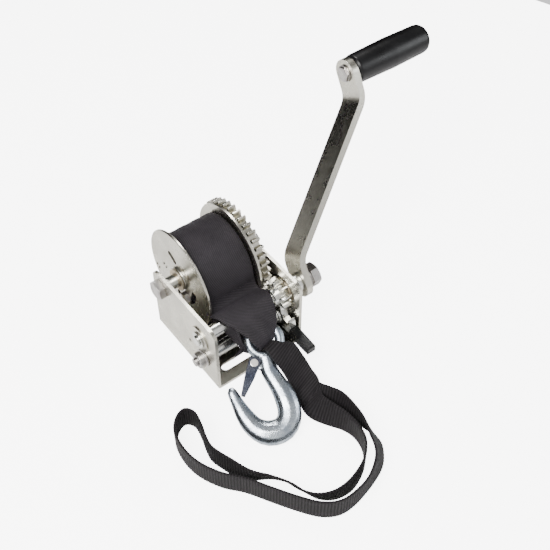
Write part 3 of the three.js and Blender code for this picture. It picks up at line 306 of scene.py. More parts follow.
def opaque(colour: Colour) -> tuple[float, float, float, float]:
    """A colour with full alpha."""
    return (*colour, 1.0)


@dataclass(frozen=True)
class MetalFinish:
    """A coated or bare metal."""

    name: str
    light: Colour
    dark: Colour
    bare: Colour = (0.86, 0.85, 0.82)
    roughness: float = 0.34
    rough_spread: float = 0.12
    mottle_scale: float = 45.0
    speck_depth: float = 0.00002
    stretch: Colour = (900.0, 900.0, 60.0)
    brush_depth: float = 0.00004
    wear: float = 0.7
    dust: float = 0.12
    dust_colour: Colour = (0.42, 0.4, 0.37)
    metallic: float = 1.0

    def build(self, effects: Effects) -> bpy.types.Material:
        """Builds the material.

        Args:
            effects: the shared node groups.

        Returns:
            The material.
        """
        material, g, shader = new_material(self.name)
        where = g.add("ShaderNodeTexCoord").outputs["Object"]
        mottle = g.group(effects.mottle, {"Position": where, "Scale": self.mottle_scale})
        brushing = g.group(effects.brushing, {"Position": where, "Stretch": self.stretch})
        wear = g.group(effects.edge_wear, {"Position": where, "Amount": self.wear})
        dust = g.group(effects.dust, {"Position": where, "Amount": self.dust})
        tone = g.math("ADD", g.math("MULTIPLY", mottle.outputs["Clouds"], 0.75),
                      g.math("MULTIPLY", mottle.outputs["Specks"], 0.25))
        colour = g.blend(tone, opaque(self.dark), opaque(self.light))
        colour = g.blend(wear.outputs["Mask"], colour, opaque(self.bare))
        colour = g.blend(dust.outputs["Mask"], colour, opaque(self.dust_colour))
        dullest = self.roughness + self.rough_spread
        rough = g.remap(mottle.outputs["Clouds"], 0.0, 1.0, dullest, self.roughness)
        rough = g.math("ADD", rough, g.math("MULTIPLY", dust.outputs["Mask"], 0.4))
        rough = g.math("SUBTRACT", rough, g.math("MULTIPLY", wear.outputs["Mask"], 0.1))
        height = g.math("ADD", g.math("MULTIPLY", brushing.outputs["Height"], self.brush_depth),
                        g.math("MULTIPLY", mottle.outputs["Specks"], self.speck_depth))
        bump = g.add("ShaderNodeBump", {"Strength": 1.0, "Distance": 1.0, "Height": height})
        g.feed(shader, "Base Color", colour)
        g.feed(shader, "Roughness", rough)
        g.feed(shader, "Metallic", self.metallic)
        g.feed(shader, "Normal", bump.outputs[0])
        return material


@dataclass(frozen=True)
class PlasticFinish:
    """Moulded plastic with a fine spark texture."""

    name: str
    colour: Colour
    scuffed: Colour = (0.014, 0.014, 0.015)
    roughness: float = 0.26
    grain: float = 2600.0
    grain_depth: float = 0.00003
    wear: float = 0.4
    dust: float = 0.1
    dust_colour: Colour = (0.03, 0.028, 0.027)
    specular: float = 0.3

    def build(self, effects: Effects) -> bpy.types.Material:
        """Builds the material.

        Args:
            effects: the shared node groups.

        Returns:
            The material.
        """
        material, g, shader = new_material(self.name)
        where = g.add("ShaderNodeTexCoord").outputs["Object"]
        grain = g.noise(where, self.grain, 2.0, 0.5)
        wear = g.group(effects.edge_wear, {"Position": where, "Amount": self.wear})
        dust = g.group(effects.dust, {"Position": where, "Amount": self.dust})
        handled = g.remap(g.noise(where, 60.0, 4.0, 0.6), 0.35, 0.7, 0.0, 1.0)
        colour = g.blend(g.math("MULTIPLY", handled, 0.25), opaque(self.colour), opaque(self.scuffed))
        colour = g.blend(wear.outputs["Mask"], colour, opaque(self.scuffed))
        colour = g.blend(dust.outputs["Mask"], colour, opaque(self.dust_colour))
        rough = g.remap(handled, 0.0, 1.0, self.roughness, self.roughness + 0.14)
        bump = g.add("ShaderNodeBump", {"Strength": 1.0, "Distance": 1.0,
                                        "Height": g.math("MULTIPLY", grain, self.grain_depth)})
        g.feed(shader, "Base Color", colour)
        g.feed(shader, "Roughness", rough)
        g.feed(shader, "Normal", bump.outputs[0])
        shader.inputs["Specular IOR Level"].default_value = self.specular
        return material


@dataclass(frozen=True)
class StrapFinish:
    """The fine twill of the winch strap."""

    name: str
    deep: Colour
    raised: Colour
    along: float = 520.0
    across: float = 380.0
    depth: float = 0.0003
    dust: float = 0.06
    dust_colour: Colour = (0.05, 0.045, 0.047)
    sheen: float = 0.03
    sheen_tint: Colour = (0.75, 0.68, 0.8)
    specular: float = 0.25

    def build(self, effects: Effects) -> bpy.types.Material:
        """Builds the material.

        Args:
            effects: the shared node groups.

        Returns:
            The material.
        """
        material, g, shader = new_material(self.name)
        coords = g.add("ShaderNodeTexCoord")
        uv = coords.outputs["UV"]
        where = coords.outputs["Object"]
        twill = g.group(effects.twill, {"UV": uv, "Along": self.along, "Across": self.across})
        dust = g.group(effects.dust, {"Position": where, "Amount": self.dust})
        fade = g.remap(g.noise(where, 35.0, 4.0, 0.6), 0.35, 0.7, 0.0, 1.0)
        colour = g.blend(twill.outputs["Line"], opaque(self.deep), opaque(self.raised))
        worn = tuple(min(1.0, 1.5 * c + 0.004) for c in self.raised)
        colour = g.blend(g.math("MULTIPLY", fade, 0.35), colour, opaque(worn))
        colour = g.blend(dust.outputs["Mask"], colour, opaque(self.dust_colour))
        bump = g.add("ShaderNodeBump", {"Strength": 1.0, "Distance": 1.0,
                                        "Height": g.math("MULTIPLY", twill.outputs["Height"], self.depth)})
        g.feed(shader, "Base Color", colour)
        g.feed(shader, "Roughness", g.remap(twill.outputs["Line"], 0.0, 1.0, 0.8, 0.55))
        g.feed(shader, "Normal", bump.outputs[0])
        shader.inputs["Sheen Weight"].default_value = self.sheen
        shader.inputs["Sheen Roughness"].default_value = 0.5
        shader.inputs["Sheen Tint"].default_value = opaque(self.sheen_tint)
        shader.inputs["Specular IOR Level"].default_value = self.specular
        return material


@dataclass(frozen=True)
class WebbingFinish:
    """The ribbed webbing of the tail, with painted shade darkening the valleys between its ribs."""

    name: str
    # deep: the dark tone of the weave, also used as the painted shade colour in the valleys between ribs
    deep: Colour
    raised: Colour
    ribs: float = 385.0
    threads: float = 1100.0
    depth: float = 0.0002
    sheen: float = 0.02
    specular: float = 0.2

    def build(self, effects: Effects) -> bpy.types.Material:
        """Builds the material.

        Args:
            effects: the shared node groups.

        Returns:
            The material.
        """
        material, g, shader = new_material(self.name)
        coords = g.add("ShaderNodeTexCoord")
        where = coords.outputs["Object"]
        ribs = g.group(effects.ribs, {"UV": coords.outputs["UV"], "Ribs": self.ribs, "Threads": self.threads})
        fade = g.remap(g.noise(where, 40.0, 4.0, 0.6), 0.35, 0.7, 0.0, 0.5)
        colour = g.blend(ribs.outputs["Height"], opaque(self.deep), opaque(self.raised))
        # painted shade: darkens the valleys between the ribs toward the deep colour
        colour = g.blend(g.math("MULTIPLY", ribs.outputs["ValleyShade"], 0.7), colour, opaque(self.deep))
        colour = g.blend(g.math("MULTIPLY", fade, 0.4), colour, opaque(tuple(1.6 * c for c in self.raised)))
        bump = g.add("ShaderNodeBump", {"Strength": 1.0, "Distance": 1.0,
                                        "Height": g.math("MULTIPLY", ribs.outputs["Height"], self.depth)})
        g.feed(shader, "Base Color", colour)
        g.feed(shader, "Roughness", g.remap(ribs.outputs["Height"], 0.0, 1.0, 0.85, 0.6))
        g.feed(shader, "Normal", bump.outputs[0])
        shader.inputs["Sheen Weight"].default_value = self.sheen
        shader.inputs["Sheen Roughness"].default_value = 0.5
        shader.inputs["Specular IOR Level"].default_value = self.specular
        return material


class Finishes:
    """Every finish of the winch, built once, by record slot."""

    def __init__(self, effects: Effects) -> None:
        """Builds the materials from the shared effects."""
        zinc_plate = MetalFinish("satin_zinc_plate", light=(0.68, 0.66, 0.58), dark=(0.5, 0.48, 0.42),
                                 roughness=0.23, rough_spread=0.1, stretch=(1400.0, 1400.0, 40.0))
        fastener = MetalFinish("dull_zinc_fastener", light=(0.56, 0.54, 0.52), dark=(0.34, 0.32, 0.32),
                               roughness=0.26, mottle_scale=120.0, stretch=(300.0, 1200.0, 1200.0))
        bright = MetalFinish("turned_bright_steel", light=(0.84, 0.84, 0.81), dark=(0.62, 0.62, 0.59),
                             roughness=0.14, rough_spread=0.1, mottle_scale=90.0,
                             stretch=(2600.0, 90.0, 90.0))
        forged = MetalFinish("forged_bluish_zinc", light=(0.68, 0.74, 0.79), dark=(0.2, 0.24, 0.3),
                             roughness=0.18, rough_spread=0.16, mottle_scale=95.0, speck_depth=0.00006,
                             stretch=(200.0, 200.0, 200.0), wear=0.3)
        latch = MetalFinish("blued_latch_zinc", light=(0.05, 0.058, 0.085), dark=(0.015, 0.018, 0.03),
                            roughness=0.16, rough_spread=0.14, mottle_scale=110.0,
                            stretch=(900.0, 900.0, 200.0), wear=0.8)
        bronze = MetalFinish("sintered_bronze", light=(0.62, 0.53, 0.38), dark=(0.42, 0.35, 0.25),
                             roughness=0.42, mottle_scale=260.0, stretch=(900.0, 900.0, 900.0))
        self.by_slot = {
            Slot.ZINC_PLATE: zinc_plate.build(effects),
            Slot.ZINC_FASTENER: fastener.build(effects),
            Slot.BRIGHT_STEEL: bright.build(effects),
            Slot.FORGED_ZINC: forged.build(effects),
            Slot.BUSH_BRONZE: bronze.build(effects),
            Slot.BLACK_PLASTIC: PlasticFinish("moulded_black_plastic", (0.003, 0.003, 0.0035)).build(effects),
            Slot.STRAP_FABRIC: StrapFinish("black_twill_strap", (0.002, 0.0017, 0.0022),
                                           (0.019, 0.016, 0.02)).build(effects),
            Slot.WEBBING_FABRIC: WebbingFinish("black_ribbed_webbing", (0.002, 0.0017, 0.002),
                                               (0.015, 0.0125, 0.0145)).build(effects),
        }
        self.latch = latch.build(effects)
        self.thread = StrapFinish("sewing_thread", (0.02, 0.018, 0.02), (0.09, 0.08, 0.09),
                                  along=2500.0, across=2500.0, depth=0.00003).build(effects)

    def __getitem__(self, slot: Slot) -> bpy.types.Material:
        """The material of a slot."""
        return self.by_slot[slot]


# ---- Meshes ----


def cad_copy(node: str) -> bmesh.types.BMesh:
    """A copy of a CAD node's mesh with its triangles joined up and its flat faces whole.

    Args:
        node: the CAD node.

    Returns:
        The copy.
    """
    bm = bmesh.new()
    bm.from_mesh(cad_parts[node].data)
    bmesh.ops.remove_doubles(bm, verts=bm.verts, dist=SAME_PLACE)
    bmesh.ops.dissolve_limit(bm, angle_limit=math.radians(0.8), verts=bm.verts, edges=bm.edges, delimit=set())
    return bm


def soften(bm: bmesh.types.BMesh, width: float, above: float) -> None:
    """Rounds the sharp edges and marks their faces as worn.

    Args:
        bm: the mesh.
        width: of the rounding.
        above: the least angle between the faces of a sharp edge, in degrees.
    """
    limit = math.radians(above)
    edges = [e for e in bm.edges if e.calc_face_angle(0.0) > limit]
    layer = bm.loops.layers.float.get(WORN) or bm.loops.layers.float.new(WORN)
    made = bmesh.ops.bevel(bm, geom=edges, offset=width, offset_type="OFFSET", segments=2, profile=0.5,
                           affect="EDGES", clamp_overlap=True, material=-1)
    for face in made["faces"]:
        for loop in face.loops:
            loop[layer] = 1.0


def new_piece(name: str, bm: bmesh.types.BMesh, material: bpy.types.Material, smooth: float = 32.0,
              weighted: bool = True) -> bpy.types.Object:
    """Turns a mesh into an object in the scene.

    Args:
        name: the piece's name.
        bm: the mesh, which is freed.
        material: of the whole piece.
        smooth: the angle up to which faces shade as one surface, in degrees.
        weighted: whether large faces keep their own flat shading.

    Returns:
        The object.
    """
    mesh = bpy.data.meshes.new(name)
    bm.to_mesh(mesh)
    bm.free()
    mesh.shade_smooth()
    mesh.set_sharp_from_angle(angle=math.radians(smooth))
    mesh.materials.append(material)
    piece = bpy.data.objects.new(name, mesh)
    bpy.context.scene.collection.objects.link(piece)
    if weighted:
        normals = piece.modifiers.new("flat_faces", "WEIGHTED_NORMAL")
        normals.keep_sharp = True
    return piece


def settle(piece: bpy.types.Object) -> bpy.types.Object:
    """Applies a piece's modifiers to its mesh."""
    graph = bpy.context.evaluated_depsgraph_get()
    graph.update()
    mesh = bpy.data.meshes.new_from_object(piece.evaluated_get(graph), depsgraph=graph)
    piece.modifiers.clear()
    piece.data = mesh
    return piece


def join_frame(piece: bpy.types.Object, body: Body, slot: Slot,
               stands_for: Iterable[str] = ()) -> bpy.types.Object:
    """Puts a finished piece on its body.

    Args:
        piece: the piece.
        body: the body that it moves with.
        slot: the record slot that it takes its finish from; not used.
        stands_for: CAD nodes that it replaces.

    Returns:
        The piece.
    """
    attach(piece, body.value)
    for node in stands_for:
        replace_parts(piece, node)
    log.info("%s: %d faces on %s", piece.name, len(piece.data.polygons), body.value)
    return piece


def spun(profile: Sequence[tuple[float, float]], centre: tuple[float, float],
         steps: int) -> bmesh.types.BMesh:
    """A body turned about an axis along X.

    Args:
        profile: places along X and radii, from one end of the axis to the other.
        centre: the axis in Y and Z.
        steps: round the turn.

    Returns:
        The mesh.
    """
    bm = bmesh.new()
    verts = [bm.verts.new((x, centre[0], centre[1] + radius)) for x, radius in profile]
    edges = [bm.edges.new(pair) for pair in zip(verts, verts[1:])]
    bmesh.ops.spin(bm, geom=verts + edges, cent=(0.0, *centre), axis=(1.0, 0.0, 0.0), angle=FULL_TURN,
                   steps=steps, use_merge=True, use_duplicate=False)
    bmesh.ops.remove_doubles(bm, verts=bm.verts, dist=SAME_PLACE)
    bmesh.ops.recalc_face_normals(bm, faces=bm.faces)
    return bm


CURVE_STEPS = 24  # points between two of a curve's own, before they are spread evenly


def catmull(points: Sequence[Vector], count: int) -> list[Vector]:
    """Points spread evenly along a smooth curve through a list.

    Args:
        points: the list.
        count: how many steps to make.

    Returns:
        One more point than there are steps.
    """
    dense: list[Vector] = []
    for i in range(len(points) - 1):
        before = points[i - 1] if i else points[0] * 2 - points[1]
        after = points[i + 2] if i + 2 < len(points) else points[-1] * 2 - points[-2]
        start, end = points[i], points[i + 1]
        square = 2 * before - 5 * start + 4 * end - after
        cube = 3 * start - before - 3 * end + after
        for k in range(CURVE_STEPS):
            t = k / CURVE_STEPS
            dense.append(0.5 * ((2 * start) + (end - before) * t + square * t * t + cube * t ** 3))
    dense.append(points[-1].copy())
    reach = [0.0]
    for a, b in zip(dense, dense[1:]):
        reach.append(reach[-1] + (b - a).length)
    spaced = []
    k = 0
    for i in range(count + 1):
        target = reach[-1] * i / count
        while k < len(reach) - 2 and reach[k + 1] < target:
            k += 1
        span = reach[k + 1] - reach[k]
        spaced.append(dense[k].lerp(dense[k + 1], (target - reach[k]) / span if span else 0.0))
    return spaced


def length_of(points: Sequence[Vector]) -> float:
    """The length of a line of points."""
    return sum((b - a).length for a, b in zip(points, points[1:]))


Placer = Callable[[float, float], Vector]
VALLEY_SHARE = 0.74  # thickness of webbing between two ribs, as a share of its full thickness


def cloth_grid(place: Placer, along: int, across: int, size: tuple[float, float]) -> bmesh.types.BMesh:
    """A grid of cloth bent into place, with a UV map in metres.

    Args:
        place: gives the point for a share of the length and a share of the width.
        along: steps along the length.
        across: steps across the width.
        size: the cloth's length and width.

    Returns:
        The mesh, one face thick.
    """
    bm = bmesh.new()
    bmesh.ops.create_grid(bm, x_segments=along, y_segments=across, size=0.5)
    uv = bm.loops.layers.uv.new("UVMap")
    for face in bm.faces:
        for loop in face.loops:
            co = loop.vert.co
            loop[uv].uv = ((co.x + 0.5) * size[0], (co.y + 0.5) * size[1])
    for vert in bm.verts:
        vert.co = place(vert.co.x + 0.5, vert.co.y + 0.5)
    return bm


def thicken(piece: bpy.types.Object, thickness: float, edge: float) -> bpy.types.Object:
    """Gives a cloth its thickness and a rounded selvedge, and applies both.

    Args:
        piece: the cloth, one face thick.
        thickness: of the cloth.
        edge: radius of its rounded edges.

    Returns:
        The piece.
    """
    shell = piece.modifiers.new("thickness", "SOLIDIFY")
    shell.thickness = thickness
    shell.offset = 0.0
    shell.use_even_offset = True
    if piece.vertex_groups:
        shell.vertex_group = piece.vertex_groups[0].name
        shell.thickness_vertex_group = VALLEY_SHARE
    rounding = piece.modifiers.new("selvedge", "BEVEL")
    rounding.width = edge
    rounding.segments = 2
    rounding.limit_method = "ANGLE"
    rounding.angle_limit = math.radians(55)
    return settle(piece)


# ---- Camera and room ----


@dataclass(frozen=True)
class Studio:
    """The camera, the floor and the lights."""

    lens: float = 57.6
    sensor: float = 36.0
    place: Colour = (-0.2748, -0.4323, 0.6554)
    right: Colour = (0.7965, -0.6046, 0.0)
    up: Colour = (0.4528, 0.5966, 0.6626)
    ahead: Colour = (0.4006, 0.5278, -0.7490)
    aim: Colour = (0.03, -0.03, 0.06)  # where the lights point
    floor_drop: float = 0.0002
    floor_radius: float = 0.7
    floor_glow: float = 0.06  # lifts the shadows
    floor_glow_seen: float = 6.0  # as the camera sees it

    def build(self) -> None:
        """Builds the camera, the floor and the lights."""
        self.camera()
        self.floor()
        self.lights()

    def camera(self) -> None:
        """Sets up the camera."""
        data = bpy.data.cameras.new("camera")
        data.lens = self.lens
        data.sensor_width = self.sensor
        data.clip_start = 0.01
        camera = bpy.data.objects.new("camera", data)
        columns = (Vector(self.right), Vector(self.up), -Vector(self.ahead))
        turn = Matrix(columns).transposed().to_4x4()
        camera.matrix_world = Matrix.Translation(self.place) @ turn
        bpy.context.scene.collection.objects.link(camera)
        bpy.context.scene.camera = camera

    def floor(self) -> None:
        """Lays the floor."""
        bm = bmesh.new()
        bmesh.ops.create_circle(bm, cap_ends=True, segments=128, radius=self.floor_radius)
        bmesh.ops.translate(bm, verts=bm.verts, vec=(0.0, 0.0, -self.floor_drop))
        material, g, shader = new_material("pale_floor")
        where = g.add("ShaderNodeTexCoord").outputs["Object"]
        g.feed(shader, "Base Color", opaque((0.94, 0.94, 0.94)))
        g.feed(shader, "Emission Color", opaque((1.0, 1.0, 1.0)))
        seen = g.add("ShaderNodeLightPath").outputs["Is Camera Ray"]
        g.feed(shader, "Emission Strength", g.remap(seen, 0.0, 1.0, self.floor_glow, self.floor_glow_seen))
        g.feed(shader, "Roughness", g.remap(g.noise(where, 14.0), 0.3, 0.7, 0.75, 0.85))
        floor = new_piece("floor", bm, material, weighted=False)

    def lights(self) -> None:
        """Hangs the soft lights and lights the room."""
        world = bpy.data.worlds.new("room")
        world.use_nodes = True
        g = Graph(world.node_tree)
        background = world.node_tree.nodes["Background"]
        parts = g.add("ShaderNodeSeparateXYZ", {0: g.add("ShaderNodeTexCoord").outputs["Generated"]})
        above = g.remap(parts.outputs[2], 0.45, 1.0, 0.0, 0.3)
        front = g.remap(parts.outputs[1], -0.85, -0.05, 1.0, 0.0)
        glow = g.remap(g.math("MAXIMUM", above, front), 0.0, 1.0, 0.008, 1.3)
        seen = g.add("ShaderNodeLightPath").outputs["Is Camera Ray"]
        shown = g.math("MAXIMUM", glow, seen)
        g.feed(background, "Color", g.blend(shown, opaque((0, 0, 0)), opaque((1, 1, 1))))
        background.inputs["Strength"].default_value = 1.0
        bpy.context.scene.world = world
        self.panel("key", (-0.7, -0.3, 1.1), 0.7, 30.0, (1.0, 0.99, 0.97))
        self.panel("top", (0.45, 0.6, 1.15), 0.3, 7.0, (1.0, 0.99, 0.97))
        self.panel("right", (1.1, -0.7, 0.6), 0.6, 6.0, (0.94, 0.97, 1.0))

    def panel(self, name: str, place: Colour, size: float, power: float, colour: Colour) -> None:
        """Hangs one square light that points at the winch.

        Args:
            name: the light's name.
            place: where it hangs.
            size: of its side.
            power: in watts.
            colour: of its light.
        """
        data = bpy.data.lights.new(name, "AREA")
        data.size = size
        data.energy = power
        data.color = colour
        light = bpy.data.objects.new(name, data)
        light.location = place
        light.rotation_mode = "QUATERNION"
        light.rotation_quaternion = (Vector(self.aim) - Vector(place)).to_track_quat("-Z", "Y")
        bpy.context.scene.collection.objects.link(light)


# ---- Places shared by the sub-assemblies ----

DRUM_AXIS = (0.0358, 0.0603)  # Y and Z
EYE = Vector((-0.0015, -0.0566015, 0.045))
HOOK_ACROSS = Vector((0.872922, -0.487860, 0.0))
HOOK_ALONG = Vector((-0.434686, -0.777787, -0.453990))
HOOK_UP = Vector((-0.221482, -0.396302, 0.891007))


def on_hook(across: float, along: float, up: float) -> Vector:
    """A point given in millimetres across, along and above the hook, from the middle of its eye."""
    return EYE + (HOOK_ACROSS * across + HOOK_ALONG * along + HOOK_UP * up) * MM


# ---- Tail ----


@dataclass
class Tail:
    """The webbing loop on the floor and the sewn tab that joins it to the hook."""

    width: float = 0.025
    thickness: float = 0.0021
    rib_pitch: float = 0.0026
    rib_height: float = 0.00022
    length: float = 0.614
    selvedge: float = 0.0005
    top_ply_lift: float = 0.00105
    lower_ply_lift: float = -0.00125
    ply_crown: float = 0.0006
    stitch_lift: float = 0.0021
    stitch_pitch: float = 0.0024
    stitch_radius: float = 0.00033
    stitch_box: tuple = ((0.4, 0.1), (0.94, 0.9))  # two corners, in shares of the tab's length and width
    # X, Y and Z of the middle line in millimetres, and the lean of the upper edge to the right, in degrees
    route: tuple = (
        (9.8, -107.4, 13.8, -52), (12.8, -114.6, 13.6, -32), (17.6, -121.6, 13.6, 4), (23.4, -130, 12.9, 28),
        (26.6, -144, 13, 22), (28.2, -160, 13, 8), (25.4, -176.4, 12.8, 0), (15.6, -191.6, 12.8, 0),
        (-1, -201.4, 12.8, 0), (-19, -206.4, 12.8, 0), (-37, -206.4, 12.8, 0), (-51, -198.4, 12.8, 0),
        (-63, -183, 12.8, 0), (-74.6, -164.5, 12.8, 0), (-86.5, -145, 12.8, 0), (-99, -129.6, 12.8, 0),
        (-108, -111, 12.8, 0), (-110.7, -93, 12.8, 0), (-107.8, -75, 12.8, 0), (-99.4, -64.6, 12.8, 0),
        (-90, -61.6, 12.8, 0), (-84.6, -69, 12.8, 0), (-86.4, -82, 12.8, 0), (-90, -94, 12.8, 0),
        (-91.6, -105, 12.8, 0), (-88, -118.4, 12.8, 0), (-83, -131, 12.8, 0), (-76, -142, 12.8, 10),
        (-65.4, -152, 12.8, 22), (-57.4, -163.5, 12.8, 26), (-53, -176, 12.8, 26), (-46.4, -187.4, 12.8, 24),
        (-35, -194.6, 12.8, 16), (-21, -196.2, 12.8, 6), (-7, -192.6, 12.8, 0), (5, -185.6, 12.8, 0),
        (14, -175, 12.8, 0), (17.6, -161, 12.8, 0), (15.8, -147, 12.8, 0), (10.2, -134, 13, 4),
        (6, -122, 13, 18), (7.4, -113.4, 11.4, 42), (11.4, -106.6, 11.6, 52),
    )
    # left and right edges in millimetres across, along and above the hook
    tab_stations: tuple = (
        ((-2.6, 6.4, 0.5), (4.2, 0.4, 0.2)), ((1.6, 12.6, 7.9), (13.6, 4.6, 7.7)),
        ((5.6, 19.6, 7.6), (24, 5.4, 3.4)), ((12, 28, 3), (30, 13.4, -1.4)),
        ((17, 36.5, -4.6), (35.3, 21.9, -5.4)), ((21.4, 44.6, -10.6), (39.6, 30.8, -5.8)),
        ((23.2, 49.2, -14), (42.4, 36.6, -5.6)), ((27, 59, -15.2), (43.6, 43.5, -5.6)),
    )

    def rib(self, distance: float) -> float:
        """Height of the ribs at a distance along the webbing."""
        return self.rib_height * (0.5 + 0.5 * math.cos(FULL_TURN * distance / self.rib_pitch))

    def loop(self, finishes: Finishes) -> bpy.types.Object:
        """Args:
            finishes: the materials.

        Returns:
            The loop.
        """
        steps = int(self.length / self.rib_pitch) * 4
        middle = catmull([Vector(p[:3]) * MM for p in self.route], steps)
        leans = catmull([Vector((p[0], p[1], p[3])) for p in self.route], steps)
        reach = length_of(middle)

        def place(s: float, t: float) -> Vector:
            """A point of the webbing's middle layer."""
            i = round(s * steps)
            ahead = middle[min(i + 1, steps)] - middle[max(i - 1, 0)]
            ahead.z = 0.0
            ahead.normalize()
            lean = math.radians(leans[i].z)
            aside = Vector((-ahead.y, ahead.x, 0.0))
            rise = Vector((0.0, 0.0, math.cos(lean))) - aside * math.sin(lean)
            return middle[i] + rise * (t - 0.5) * self.width

        bm = cloth_grid(place, steps, 6, (reach, self.width))
        piece = new_piece("tail_webbing", bm, finishes[Slot.WEBBING_FABRIC], smooth=60, weighted=False)
        self.raise_ribs(piece)
        thicken(piece, self.thickness, self.selvedge)
        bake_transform(piece)
        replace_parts(piece, "tail_loop")
        log.info("%s: %.3f m of webbing", piece.name, reach)
        return piece

    def raise_ribs(self, piece: bpy.types.Object) -> None:
        """Weights the webbing by its ribs, for its thickness."""
        group = piece.vertex_groups.new(name="ribs")
        uv = piece.data.uv_layers[0].data
        for loop in piece.data.loops:
            height = self.rib(uv[loop.index].uv[0])
            group.add([loop.vertex_index], height / self.rib_height, "REPLACE")

    def tab(self, finishes: Finishes) -> bpy.types.Object:
        """Builds the doubled tab that is sewn round the hook's eye.

        Args:
            finishes: the materials.

        Returns:
            The tab.
        """
        steps = 96
        left = catmull([on_hook(*s[0]) for s in self.tab_stations], steps)
        right = catmull([on_hook(*s[1]) for s in self.tab_stations], steps)
        reach = (length_of(left) + length_of(right)) / 2

        def surface(lift: float) -> Placer:
            """The placer of one ply, lifted from the middle of the tab."""

            def place(s: float, t: float) -> Vector:
                """A point of the ply's middle layer."""
                i = round(s * steps)
                a, b = max(i - 1, 0), min(i + 1, steps)
                ahead = (left[b] + right[b] - left[a] - right[a]).normalized()
                normal = ahead.cross(right[i] - left[i]).normalized()
                rib = self.rib(s * reach)
                crown = self.ply_crown * math.sin(math.pi * t)
                return left[i].lerp(right[i], t) - normal * (lift + rib + crown)

            return place

        plies = []
        lifts = {"tail_tab_top_ply": self.top_ply_lift, "tail_tab_lower_ply": self.lower_ply_lift}
        for name, lift in lifts.items():
            bm = cloth_grid(surface(lift), steps, 10, (reach, self.width))
            ply = new_piece(name, bm, finishes[Slot.WEBBING_FABRIC], smooth=60, weighted=False)
            thicken(ply, self.thickness, self.selvedge)
            join_frame(ply, Body.HOOK, Slot.WEBBING_FABRIC)
            plies.append(ply)
        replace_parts(plies[0], "tail_tab")
        self.stitching(surface(self.stitch_lift), reach, finishes)
        return plies[0]

    def stitching(self, place: Placer, reach: float, finishes: Finishes) -> None:
        """Sews the box and its cross on the tab, one raised stitch at a time.

        Args:
            place: gives a point just above the tab.
            reach: the tab's length.
            finishes: the materials.
        """
        (s0, t0), (s1, t1) = self.stitch_box
        runs = [((s0, t0), (s1, t0)), ((s1, t0), (s1, t1)), ((s1, t1), (s0, t1)), ((s0, t1), (s0, t0)),
                ((s0, t0), (s1, t1)), ((s0, t1), (s1, t0))]
        bm = bmesh.new()
        for (sa, ta), (sb, tb) in runs:
            span = math.hypot((sb - sa) * reach, (tb - ta) * self.width)
            count = max(2, int(span / self.stitch_pitch))
            for k in range(count):
                a, b = (k + 0.12) / count, (k + 0.88) / count
                start = place(sa + (sb - sa) * a, ta + (tb - ta) * a)
                end = place(sa + (sb - sa) * b, ta + (tb - ta) * b)
                self.stitch(bm, start, end)
        piece = new_piece("tail_tab_stitching", bm, finishes.thread, smooth=80, weighted=False)
        join_frame(piece, Body.HOOK, Slot.WEBBING_FABRIC)

    def stitch(self, bm: bmesh.types.BMesh, start: Vector, end: Vector) -> None:
        """Adds one short thread between two points."""
        middle = (start + end) / 2
        heading = end - start
        turn = heading.to_track_quat("Z", "Y").to_matrix().to_4x4()
        size = Matrix.Diagonal((self.stitch_radius, self.stitch_radius, heading.length / 2, 1.0))
        placed = Matrix.Translation(middle) @ turn @ size
        bmesh.ops.create_icosphere(bm, subdivisions=1, radius=1.0, matrix=placed)


# ---- Strap ----


